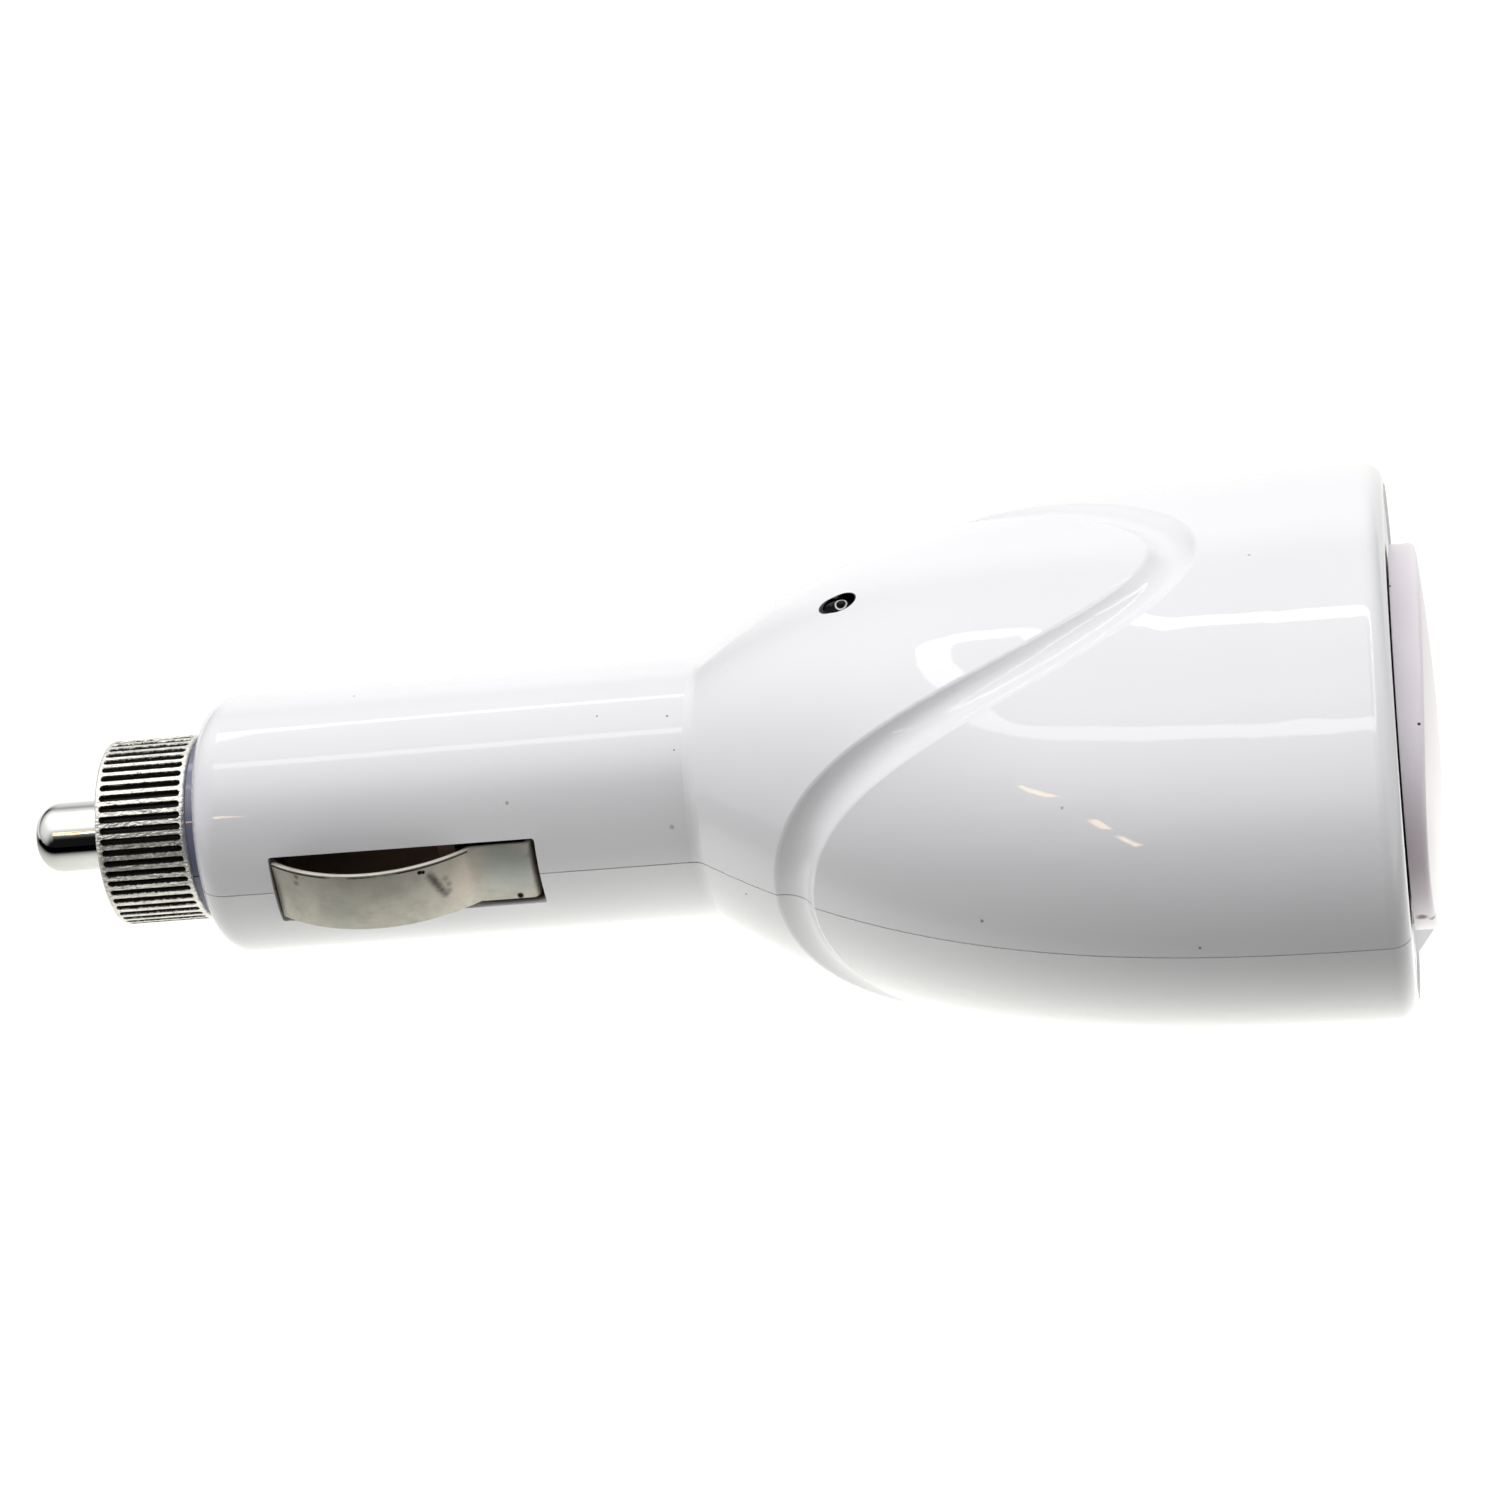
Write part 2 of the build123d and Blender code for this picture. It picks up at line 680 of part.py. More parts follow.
with BuildPart() as usb_contacts:
    with BuildSketch(Plane.YZ.offset(block_front_x)):
        with Locations((0, tongue_lift - tongue_t / 2 - strip_t / 2)):
            with GridLocations(outlet_pitch, 0, 2, 1):
                with GridLocations(strip_pitch, 0, 4, 1):
                    Rectangle(strip_w, strip_t)
    extrude(amount=tongue_len - strip_setback)
usb_contacts.part.label = "usb_contacts"
export_step(usb_contacts.part, "parts/usb_contacts.step")

# Converter parts that stand on the board
inductor_plane = Plane((inductor_x, 0, board_top_z))
with BuildPart() as inductor_core:
    with BuildSketch(inductor_plane):
        Circle(inductor_core_d / 2)
    extrude(amount=inductor_h)
    for flange_z in (0, inductor_h - inductor_flange_t):
        with BuildSketch(inductor_plane.offset(flange_z)):
            Circle(inductor_d / 2)
        extrude(amount=inductor_flange_t)
inductor_core.part.label = "inductor_core"
export_step(inductor_core.part, "parts/inductor_core.step")

with BuildPart() as inductor_winding:
    with BuildSketch(inductor_plane.offset(inductor_flange_t)):
        Circle(inductor_fill * inductor_d / 2)
        Circle(inductor_core_d / 2, mode=Mode.SUBTRACT)
    extrude(amount=inductor_h - 2 * inductor_flange_t)
inductor_winding.part.label = "inductor_winding"
export_step(inductor_winding.part, "parts/inductor_winding.step")

for name, ((can_x, can_y), can_d, can_h) in can_places.items():
    with BuildPart() as capacitor:
        with BuildSketch(Plane((can_x, can_y, board_top_z))):
            Circle(can_d / 2)
        extrude(amount=can_h)
        fillet(edges().group_by(Axis.Z)[-1], can_round)
    capacitor.part.label = name
    export_step(capacitor.part, f"parts/{name}.step")

for name, ((chip_x, chip_y), (chip_l, chip_w, chip_h)) in chip_places.items():
    with BuildPart() as chip:
        with BuildSketch(Plane((chip_x, chip_y, board_top_z))):
            Rectangle(chip_l, chip_w)
        extrude(amount=chip_h)
    chip.part.label = name
    export_step(chip.part, f"parts/{name}.step")

# Indicator: lens with a low dome on a flange, with two legs down to the board
with BuildPart() as indicator_led:
    with BuildSketch(Plane((led_x, 0, led_base_z))):
        Circle(led_d / 2)
    extrude(amount=led_h)
    with Locations((led_x, 0, led_tip_z - led_dome_r)):
        Sphere(led_dome_r, mode=Mode.INTERSECT)
    with BuildSketch(Plane((led_x, 0, led_base_z))):
        Circle(led_flange_d / 2)
    extrude(amount=led_flange_t)
indicator_led.part.label = "indicator_led"
export_step(indicator_led.part, "parts/indicator_led.step")

with BuildPart() as led_leads:
    with BuildSketch(Plane((led_x, 0, board_top_z))):
        with GridLocations(0, led_pitch, 1, 2):
            Rectangle(led_leg, led_leg)
    extrude(amount=led_base_z - board_top_z)
led_leads.part.label = "led_leads"
export_step(led_leads.part, "parts/led_leads.step")

# Hook-up leads from the contacts to the front of the board
lead_routes = {
    "positive_lead": ((tail_end_x, 0), (lead_end_x, positive_lead_y)),
    "near_negative_lead": ((negative_start_x, -negative_lead_y), (lead_end_x, -negative_lead_y)),
    "far_negative_lead": ((negative_start_x, negative_lead_y), (lead_end_x, negative_lead_y)),
}
for name, ((start_x, start_y), (end_x, end_y)) in lead_routes.items():
    with BuildPart() as lead:
        with BuildLine():
            route = FilletPolyline(
                (start_x, start_y, 0),
                (lead_drop_start_x, start_y, 0),
                (lead_drop_end_x, end_y, lead_z),
                (end_x, end_y, lead_z),
                radius=lead_bend,
            )
        with BuildSketch(Plane(origin=route @ 0, z_dir=route % 0)):
            Circle(lead_d / 2)
        sweep()
    lead.part.label = name
    export_step(lead.part, f"parts/{name}.step")
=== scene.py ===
"""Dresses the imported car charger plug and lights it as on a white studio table.

Lengths are in metres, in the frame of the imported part: +X runs along the plug towards
its outlets, +Z is up and the near side is -Y. Sizes that end in _mm are in millimetres.
"""

import logging
import math
from dataclasses import dataclass
from enum import Enum

import bpy
from mathutils import Matrix, Vector


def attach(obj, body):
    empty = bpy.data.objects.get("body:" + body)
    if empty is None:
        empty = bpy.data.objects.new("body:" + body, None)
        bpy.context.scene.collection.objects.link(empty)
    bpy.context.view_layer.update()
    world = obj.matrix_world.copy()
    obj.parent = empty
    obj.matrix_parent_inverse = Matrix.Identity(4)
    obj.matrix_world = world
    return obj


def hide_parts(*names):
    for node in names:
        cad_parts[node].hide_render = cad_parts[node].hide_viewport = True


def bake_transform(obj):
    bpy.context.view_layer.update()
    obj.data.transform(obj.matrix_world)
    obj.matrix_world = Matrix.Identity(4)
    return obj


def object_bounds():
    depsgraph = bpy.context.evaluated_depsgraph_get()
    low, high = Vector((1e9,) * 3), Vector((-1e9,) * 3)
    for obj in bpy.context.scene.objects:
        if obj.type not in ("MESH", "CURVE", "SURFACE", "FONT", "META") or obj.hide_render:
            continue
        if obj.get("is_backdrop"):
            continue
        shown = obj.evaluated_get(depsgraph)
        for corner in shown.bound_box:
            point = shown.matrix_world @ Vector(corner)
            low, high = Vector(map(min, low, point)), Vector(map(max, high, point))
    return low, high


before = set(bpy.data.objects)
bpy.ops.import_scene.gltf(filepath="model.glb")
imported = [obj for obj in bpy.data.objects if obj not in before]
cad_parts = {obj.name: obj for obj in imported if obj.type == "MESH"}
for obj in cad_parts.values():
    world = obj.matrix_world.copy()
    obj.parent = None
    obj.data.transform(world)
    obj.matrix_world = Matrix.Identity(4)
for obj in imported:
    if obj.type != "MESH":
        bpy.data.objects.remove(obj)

log = logging.getLogger("charger_plug")

Point = tuple[float, float, float]
Span = tuple[float, float]
Inputs = dict[str | int, object]
Tree = bpy.types.NodeTree
Socket = bpy.types.NodeSocket

MM = 0.001
# Corners of a CAD mesh that lie closer than this are one corner
WELD_MM = 0.001
# Faces that turn by less are one flat face, and edges that turn by more are eased
FLAT_ANGLE = math.radians(0.5)
SHARP_ANGLE = math.radians(50)
# Length of one band of Blender's wave texture at a scale of 1
WAVE_BAND = 0.314
# Sockets of a Mix node: the share of the second value, its pairs of values, and its results
SHARE, NUMBER_A, NUMBER_B, COLOUR_A, COLOUR_B = 0, 2, 3, 6, 7
MIXED_NUMBER, MIXED_COLOUR = 0, 2


class Body(Enum):
    """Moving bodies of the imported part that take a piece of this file."""

    HOUSING = "housing"
    PIN = "pin"
    NEAR_LEAF = "near_leaf"
    FAR_LEAF = "far_leaf"


class Slot(Enum):
    """Names of material slots of the record."""

    SPRING_STRIP = "spring_strip"
    STEEL = "steel"


def colour(hex_value: str) -> tuple[float, float, float, float]:
    """Turns an sRGB hex value into the linear colour a shader takes.

    Args:
        hex_value: six hex digits.

    Returns:
        Linear red, green, blue and an alpha of 1.
    """
    parts = (int(hex_value[i : i + 2], 16) / 255 for i in (0, 2, 4))
    linear = [c / 12.92 if c <= 0.04045 else ((c + 0.055) / 1.055) ** 2.4 for c in parts]
    return (*linear, 1.0)


def add_node(
    tree: Tree, kind: str, inputs: Inputs | None = None, **settings: object
) -> bpy.types.Node:
    """Adds one node with its settings and links.

    Args:
        tree: node tree that takes the node.
        kind: Blender's name of the node type.
        inputs: input name or number, with a value or with the output that feeds it.
        settings: properties of the node itself.

    Returns:
        The new node.
    """
    node = tree.nodes.new(kind)
    for name, value in settings.items():
        setattr(node, name, value)
    for key, value in (inputs or {}).items():
        if isinstance(value, Socket):
            tree.links.new(value, node.inputs[key])
        else:
            node.inputs[key].default_value = value
    return node


def bare_material(name: str) -> bpy.types.Material:
    """Makes a material whose node tree is still empty.

    Args:
        name: name of the material.

    Returns:
        The material.
    """
    material = bpy.data.materials.new(name)
    material.use_nodes = True
    material.node_tree.nodes.clear()
    return material


def cad_box() -> tuple[list[float], list[float]]:
    """Gives the lowest and highest corner of the shown object, as plain lists."""
    low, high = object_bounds()
    return list(low), list(high)


@dataclass(frozen=True)
class Mark:
    """A mark at one place of a surface: a speck, smudge or stain, painted shade or a painted
    reflection.

    The edge is the share of the radius over which it fades. The ragged share is how far noise
    eats into it, with so many tatters to a radius.
    """

    place_mm: Point
    radius_mm: float
    hex_value: str
    strength: float = 1.0
    edge: float = 0.45
    ragged: float = 0.0
    tatters: int = 3

    def share(self, tree: Tree, place: Socket) -> Socket:
        """Adds the nodes that tell how much of the mark shows at a point.

        Args:
            tree: node tree of the material.
            place: object coordinates.

        Returns:
            The share, from 0 to the mark's strength.
        """
        radius = self.radius_mm * MM
        away = add_node(
            tree,
            "ShaderNodeVectorMath",
            {0: place, 1: Vector(self.place_mm) * MM},
            operation="DISTANCE",
        ).outputs["Value"]
        if self.ragged:
            tatter = add_node(
                tree,
                "ShaderNodeTexNoise",
                {"Vector": place, "Scale": self.tatters / radius, "Detail": 3.0},
            )
            away = add_node(
                tree,
                "ShaderNodeMath",
                {0: tatter.outputs["Fac"], 1: self.ragged * radius, 2: away},
                operation="MULTIPLY_ADD",
            ).outputs["Value"]
        return add_node(
            tree,
            "ShaderNodeMapRange",
            {
                "Value": away,
                "From Min": radius,
                "From Max": (1 - self.edge) * radius,
                "To Max": self.strength,
            },
            interpolation_type="SMOOTHSTEP",
        ).outputs["Result"]


@dataclass(frozen=True)
class Band:
    """A length of a round piece, below a radius that noise shifts."""

    x_from_mm: float
    x_to_mm: float
    r_none_mm: float
    r_full_mm: float
    hex_value: str
    strength: float = 1.0
    ragged_mm: float = 0.0
    tatter_mm: float = 0.3

    def share(self, tree: Tree, place: Socket) -> Socket:
        """Adds the nodes that tell how far a point is inside the band.

        Args:
            tree: node tree of the material.
            place: object coordinates.

        Returns:
            The share, from 0 to the band's strength.
        """
        across = add_node(
            tree, "ShaderNodeVectorMath", {0: place, 1: (0.0, 1.0, 1.0)}, operation="MULTIPLY"
        )
        radius = add_node(
            tree, "ShaderNodeVectorMath", {0: across.outputs["Vector"]}, operation="LENGTH"
        )
        tatter = add_node(
            tree,
            "ShaderNodeTexNoise",
            {"Vector": place, "Scale": 1 / (self.tatter_mm * MM), "Detail": 2.0},
        )
        shifted = add_node(
            tree,
            "ShaderNodeMath",
            {0: tatter.outputs["Fac"], 1: self.ragged_mm * MM, 2: radius.outputs["Value"]},
            operation="MULTIPLY_ADD",
        )
        deep = add_node(
            tree,
            "ShaderNodeMapRange",
            {
                "Value": shifted.outputs["Value"],
                "From Min": self.r_none_mm * MM,
                "From Max": self.r_full_mm * MM,
                "To Max": self.strength,
            },
            interpolation_type="SMOOTHSTEP",
        )
        along = add_node(tree, "ShaderNodeSeparateXYZ", {"Vector": place})
        between = add_node(
            tree,
            "ShaderNodeMath",
            {
                0: along.outputs["X"],
                1: (self.x_from_mm + self.x_to_mm) / 2 * MM,
                2: (self.x_to_mm - self.x_from_mm) / 2 * MM,
            },
            operation="COMPARE",
        )
        return add_node(
            tree,
            "ShaderNodeMath",
            {0: deep.outputs["Result"], 1: between.outputs["Value"]},
            operation="MULTIPLY",
        ).outputs["Value"]


@dataclass(frozen=True)
class Stripe:
    """A line along a strip, between two heights and up to a place along it.

    Noise of the broken length breaks it up, where it falls within the broken span.
    """

    z_from_mm: float
    z_to_mm: float
    x_to_mm: float
    hex_value: str
    strength: float = 1.0
    broken_mm: float = 2.0
    broken_span: Span = (0.35, 0.5)

    def share(self, tree: Tree, place: Socket) -> Socket:
        """Adds the nodes that tell how much of the line shows at a point.

        Args:
            tree: node tree of the material.
            place: object coordinates.

        Returns:
            The share, from 0 to the line's strength.
        """
        sides = add_node(tree, "ShaderNodeSeparateXYZ", {"Vector": place})
        between = add_node(
            tree,
            "ShaderNodeMath",
            {
                0: sides.outputs["Z"],
                1: (self.z_from_mm + self.z_to_mm) / 2 * MM,
                2: (self.z_to_mm - self.z_from_mm) / 2 * MM,
            },
            operation="COMPARE",
        )
        noise = add_node(
            tree,
            "ShaderNodeTexNoise",
            {"Vector": place, "Scale": 1 / (self.broken_mm * MM), "Detail": 2.0},
        )
        whole = add_node(
            tree,
            "ShaderNodeMapRange",
            {
                "Value": noise.outputs["Fac"],
                "From Min": self.broken_span[0],
                "From Max": self.broken_span[1],
                "To Max": self.strength,
            },
        )
        before = add_node(
            tree,
            "ShaderNodeMath",
            {0: sides.outputs["X"], 1: self.x_to_mm * MM},
            operation="LESS_THAN",
        )
        drawn = add_node(
            tree,
            "ShaderNodeMath",
            {0: between.outputs["Value"], 1: whole.outputs["Result"]},
            operation="MULTIPLY",
        )
        return add_node(
            tree,
            "ShaderNodeMath",
            {0: drawn.outputs["Value"], 1: before.outputs["Value"]},
            operation="MULTIPLY",
        ).outputs["Value"]


@dataclass(frozen=True)
class Ring:
    """An upright ring, seen as an oval from above.

    The squeeze is its width by its length along Y, and the core is the share of its half
    width that shows in full.
    """

    place_mm: Span
    radius_mm: float
    half_width_mm: float
    squeeze: float
    hex_value: str
    strength: float = 1.0
    core: float = 0.4

    def share(self, tree: Tree, place: Socket) -> Socket:
        """Adds the nodes that tell how much of the ring shows at a point.

        Args:
            tree: node tree of the material.
            place: object coordinates.

        Returns:
            The share, from 0 to the ring's strength.
        """
        x_mm, y_mm = self.place_mm
        drawn_in = add_node(
            tree,
            "ShaderNodeMapping",
            {
                "Vector": place,
                "Location": (-x_mm * MM, -self.squeeze * y_mm * MM, 0.0),
                "Scale": (1.0, self.squeeze, 0.0),
            },
        )
        away = add_node(
            tree, "ShaderNodeVectorMath", {0: drawn_in.outputs["Vector"]}, operation="LENGTH"
        )
        off = add_node(
            tree,
            "ShaderNodeMath",
            {0: away.outputs["Value"], 1: self.radius_mm * MM},
            operation="SUBTRACT",
        )
        distance = add_node(
            tree, "ShaderNodeMath", {0: off.outputs["Value"]}, operation="ABSOLUTE"
        )
        return add_node(
            tree,
            "ShaderNodeMapRange",
            {
                "Value": distance.outputs["Value"],
                "From Min": self.half_width_mm * MM,
                "From Max": self.core * self.half_width_mm * MM,
                "To Max": self.strength,
            },
            interpolation_type="SMOOTHSTEP",
        ).outputs["Result"]


Cover = Mark | Band | Stripe | Ring


@dataclass(frozen=True)
class Finish:
    """A material and the way its surface was made."""

    name: str

    def build(self) -> bpy.types.Material:
        """Makes the material, its pattern nodes and its shader.

        Returns:
            The finished material.
        """
        material = bare_material(self.name)
        tree = material.node_tree
        place = add_node(tree, "ShaderNodeTexCoord").outputs["Object"]
        shader = add_node(tree, "ShaderNodeBsdfPrincipled", self.pattern(tree, place))
        add_node(tree, "ShaderNodeOutputMaterial", {"Surface": shader.outputs["BSDF"]})
        return material

    def pattern(self, tree: Tree, place: Socket) -> Inputs:
        """Adds the pattern nodes.

        Args:
            tree: node tree of the material.
            place: object coordinates.

        Returns:
            What the shader's inputs are set to or fed by.
        """
        raise NotImplementedError


@dataclass(frozen=True)
class MouldedPlastic(Finish):
    """Injection-moulded plastic: clouded colour, skin of the mould, small inclusions, and painted
    shade and painted reflections laid over it.
    """

    hex_value: str = "EFEFF1"
    shade_hex: str = "E8E8EC"
    roughness: float = 0.02
    rough_spread: float = 0.015
    ior: float = 1.53
    specular: float = 0.5
    mottle_mm: float = 14.0
    mottle_span: Span = (0.35, 0.7)
    skin_mm: float = 1.6
    skin_depth_mm: float = 0.02
    skin_strength: float = 0.015
    subsurface: float = 0.0
    subsurface_mm: float = 1.2
    subsurface_reach: Point = (1.0, 0.85, 0.9)
    covers: tuple[Cover, ...] = ()

    def pattern(self, tree: Tree, place: Socket) -> Inputs:
        """Clouds the colour, lays covers over it and gives the skin a faint ripple.

        Args:
            tree: node tree of the material.
            place: object coordinates.

        Returns:
            What the shader's inputs are set to or fed by.
        """
        mottle = add_node(
            tree,
            "ShaderNodeTexNoise",
            {"Vector": place, "Scale": 1 / (self.mottle_mm * MM), "Detail": 3.0},
        )
        mixed = add_node(
            tree,
            "ShaderNodeMix",
            {
                SHARE: mottle.outputs["Fac"],
                COLOUR_A: colour(self.hex_value),
                COLOUR_B: colour(self.shade_hex),
            },
            data_type="RGBA",
        ).outputs[MIXED_COLOUR]
        for cover in self.covers:
            mixed = add_node(
                tree,
                "ShaderNodeMix",
                {
                    SHARE: cover.share(tree, place),
                    COLOUR_A: mixed,
                    COLOUR_B: colour(cover.hex_value),
                },
                data_type="RGBA",
            ).outputs[MIXED_COLOUR]
        skin = add_node(
            tree,
            "ShaderNodeTexNoise",
            {"Vector": place, "Scale": 1 / (self.skin_mm * MM), "Detail": 2.0},
        )
        gloss = add_node(
            tree,
            "ShaderNodeMapRange",
            {
                "Value": mottle.outputs["Fac"],
                "From Min": self.mottle_span[0],
                "From Max": self.mottle_span[1],
                "To Min": self.roughness,
                "To Max": self.roughness + self.rough_spread,
            },
        )
        bump = add_node(
            tree,
            "ShaderNodeBump",
            {
                "Height": skin.outputs["Fac"],
                "Strength": self.skin_strength,
                "Distance": self.skin_depth_mm * MM,
            },
        )
        return {
            "Base Color": mixed,
            "Roughness": gloss.outputs["Result"],
            "Normal": bump.outputs["Normal"],
            "IOR": self.ior,
            "Specular IOR Level": self.specular,
            "Subsurface Weight": self.subsurface,
            "Subsurface Radius": self.subsurface_reach,
            "Subsurface Scale": self.subsurface_mm * MM,
        }


@dataclass(frozen=True)
class Metal(Finish):
    """Bare or plated metal with a fine grain, a little tarnish, what has settled on it and painted
    shade.
    """

    hex_value: str = "C9C7C2"
    tarnish_hex: str = "8F8C84"
    roughness: float = 0.14
    rough_spread: float = 0.08
    grain_mm: Point = (0.5, 0.5, 0.5)
    grain_span: Span = (0.3, 0.7)
    grain_depth_mm: float = 0.02
    tarnish_mm: float = 3.0
    tarnish_span: Span = (0.42, 0.72)
    tarnish_share: float = 0.35
    bump_strength: float = 0.05
    covers: tuple[Cover, ...] = ()
    cover_roughness: float = 0.6

    def pattern(self, tree: Tree, place: Socket) -> Inputs:
        """Lets tarnish, grain and covers vary the colour, the gloss and the surface.

        Args:
            tree: node tree of the material.
            place: object coordinates.

        Returns:
            What the shader's inputs are set to or fed by.
        """
        tarnish = add_node(
            tree,
            "ShaderNodeTexNoise",
            {"Vector": place, "Scale": 1 / (self.tarnish_mm * MM), "Detail": 5.0},
        )
        dulled = add_node(
            tree,
            "ShaderNodeMapRange",
            {
                "Value": tarnish.outputs["Fac"],
                "From Min": self.tarnish_span[0],
                "From Max": self.tarnish_span[1],
                "To Max": self.tarnish_share,
            },
        )
        mixed = add_node(
            tree,
            "ShaderNodeMix",
            {
                SHARE: dulled.outputs["Result"],
                COLOUR_A: colour(self.hex_value),
                COLOUR_B: colour(self.tarnish_hex),
            },
            data_type="RGBA",
        ).outputs[MIXED_COLOUR]
        stretched = add_node(
            tree,
            "ShaderNodeMapping",
            {"Vector": place, "Scale": [1 / (size * MM) for size in self.grain_mm]},
        )
        grain = add_node(
            tree,
            "ShaderNodeTexNoise",
            {"Vector": stretched.outputs["Vector"], "Scale": 1.0, "Detail": 3.0},
        )
        gloss = add_node(
            tree,
            "ShaderNodeMapRange",
            {
                "Value": grain.outputs["Fac"],
                "From Min": self.grain_span[0],
                "From Max": self.grain_span[1],
                "To Min": self.roughness,
                "To Max": self.roughness + self.rough_spread,
            },
        ).outputs["Result"]
        for cover in self.covers:
            lying = cover.share(tree, place)
            mixed = add_node(
                tree,
                "ShaderNodeMix",
                {SHARE: lying, COLOUR_A: mixed, COLOUR_B: colour(cover.hex_value)},
                data_type="RGBA",
            ).outputs[MIXED_COLOUR]
            gloss = add_node(
                tree,
                "ShaderNodeMix",
                {SHARE: lying, NUMBER_A: gloss, NUMBER_B: self.cover_roughness},
            ).outputs[MIXED_NUMBER]
        bump = add_node(
            tree,
            "ShaderNodeBump",
            {
                "Height": grain.outputs["Fac"],
                "Strength": self.bump_strength,
                "Distance": self.grain_depth_mm * MM,
            },
        )
        return {
            "Base Color": mixed,
            "Roughness": gloss,
            "Normal": bump.outputs["Normal"],
            "Metallic": 1.0,
        }


@dataclass(frozen=True)
class DrawnGlass(Finish):
    """Drawn soda-lime tube: clear, with faint green in its draw lines."""

    hex_value: str = "F4F8F6"
    line_hex: str = "DDEAE4"
    line_mm: float = 0.8
    line_length_mm: float = 50.0
    roughness: float = 0.03
    ior: float = 1.51

    def pattern(self, tree: Tree, place: Socket) -> Inputs:
        """Tints draw lines along the tube.

        Args:
            tree: node tree of the material.
            place: object coordinates.

        Returns:
            What the shader's inputs are set to or fed by.
        """
        sizes_mm = (self.line_length_mm, self.line_mm, self.line_mm)
        drawn = add_node(
            tree,
            "ShaderNodeMapping",
            {"Vector": place, "Scale": [1 / (size * MM) for size in sizes_mm]},
        )
        lines = add_node(
            tree,
            "ShaderNodeTexNoise",
            {"Vector": drawn.outputs["Vector"], "Scale": 1.0, "Detail": 2.0},
        )
        tint = add_node(
            tree,
            "ShaderNodeMix",
            {
                SHARE: lines.outputs["Fac"],
                COLOUR_A: colour(self.hex_value),
                COLOUR_B: colour(self.line_hex),
            },
            data_type="RGBA",
        )
        return {
            "Base Color": tint.outputs[MIXED_COLOUR],
            "Roughness": self.roughness,
            "IOR": self.ior,
            "Transmission Weight": 1.0,
        }


@dataclass(frozen=True)
class WoundWire(Finish):
    """Enamelled copper wire in close turns round an upright core."""

    hex_value: str = "B8673A"
    # Painted shade: dark copper between the turns
    gap_shade_hex: str = "4A2412"
    turn_mm: float = 0.4
    wander: float = 0.3
    roughness: float = 0.28
    bump_strength: float = 0.6
    bump_share: float = 0.3

    def pattern(self, tree: Tree, place: Socket) -> Inputs:
        """Draws the turns as bands, with painted shade dark between the wires.

        Args:
            tree: node tree of the material.
            place: object coordinates.

        Returns:
            What the shader's inputs are set to or fed by.
        """
        turn = self.turn_mm * MM
        turns = add_node(
            tree,
            "ShaderNodeTexWave",
            {"Vector": place, "Scale": WAVE_BAND / turn, "Distortion": self.wander},
            bands_direction="Z",
        )
        mixed = add_node(
            tree,
            "ShaderNodeMix",
            {
                SHARE: turns.outputs["Fac"],
                COLOUR_A: colour(self.gap_shade_hex),
                COLOUR_B: colour(self.hex_value),
            },
            data_type="RGBA",
        )
        bump = add_node(
            tree,
            "ShaderNodeBump",
            {
                "Height": turns.outputs["Fac"],
                "Strength": self.bump_strength,
                "Distance": self.bump_share * turn,
            },
        )
        return {
            "Base Color": mixed.outputs[MIXED_COLOUR],
            "Normal": bump.outputs["Normal"],
            "Metallic": 1.0,
            "Roughness": self.roughness,
        }


@dataclass(frozen=True)
class PrintedBoard(Finish):
    """Glass-epoxy laminate under green solder mask, with copper tracks showing through."""

    hex_value: str = "1F5A35"
    track_hex: str = "2F7A48"
    grid_mm: float = 2.4
    field_length: float = 2.6
    field_height: float = 0.8
    track_width: float = 0.07
    track_depth_mm: float = 0.03
    bump_strength: float = 0.3
    roughness: float = 0.32
    ior: float = 1.55

    def pattern(self, tree: Tree, place: Socket) -> Inputs:
        """Lays lighter tracks in a broken grid under the mask.

        Args:
            tree: node tree of the material.
            place: object coordinates.

        Returns:
            What the shader's inputs are set to or fed by.
        """
        tracks = add_node(
            tree,
            "ShaderNodeTexBrick",
            {
                "Vector": place,
                "Scale": 1 / (self.grid_mm * MM),
                "Mortar Size": self.track_width,
                "Brick Width": self.field_length,
                "Row Height": self.field_height,
                "Color1": colour(self.hex_value),
                "Color2": colour(self.hex_value),
                "Mortar": colour(self.track_hex),
            },
        )
        bump = add_node(
            tree,
            "ShaderNodeBump",
            {
                "Height": tracks.outputs["Fac"],
                "Strength": self.bump_strength,
                "Distance": self.track_depth_mm * MM,
            },
        )
        return {
            "Base Color": tracks.outputs["Color"],
            "Normal": bump.outputs["Normal"],
            "Roughness": self.roughness,
            "IOR": self.ior,
        }


@dataclass(frozen=True)
class SleevedCan(Finish):
    """Aluminium can in a shrunk dark sleeve that leaves its top bare."""

    sleeve_hex: str = "1B2130"
    metal_hex: str = "C4C5C8"
    top_mm: float = 4.0
    lip_mm: float = 0.25
    lip_bare: float = 0.8
    roughness: float = 0.3

    def pattern(self, tree: Tree, place: Socket) -> Inputs:
        """Splits sleeve from bare metal by height.

        Args:
            tree: node tree of the material.
            place: object coordinates.

        Returns:
            What the shader's inputs are set to or fed by.
        """
        height = add_node(tree, "ShaderNodeSeparateXYZ", {"Vector": place})
        bare = add_node(
            tree,
            "ShaderNodeMapRange",
            {
                "Value": height.outputs["Z"],
                "From Min": (self.top_mm - self.lip_mm) * MM,
                "From Max": (self.top_mm - self.lip_bare * self.lip_mm) * MM,
            },
        )
        mixed = add_node(
            tree,
            "ShaderNodeMix",
            {
                SHARE: bare.outputs["Result"],
                COLOUR_A: colour(self.sleeve_hex),
                COLOUR_B: colour(self.metal_hex),
            },
            data_type="RGBA",
        )
        return {
            "Base Color": mixed.outputs[MIXED_COLOUR],
            "Metallic": bare.outputs["Result"],
            "Roughness": self.roughness,
        }


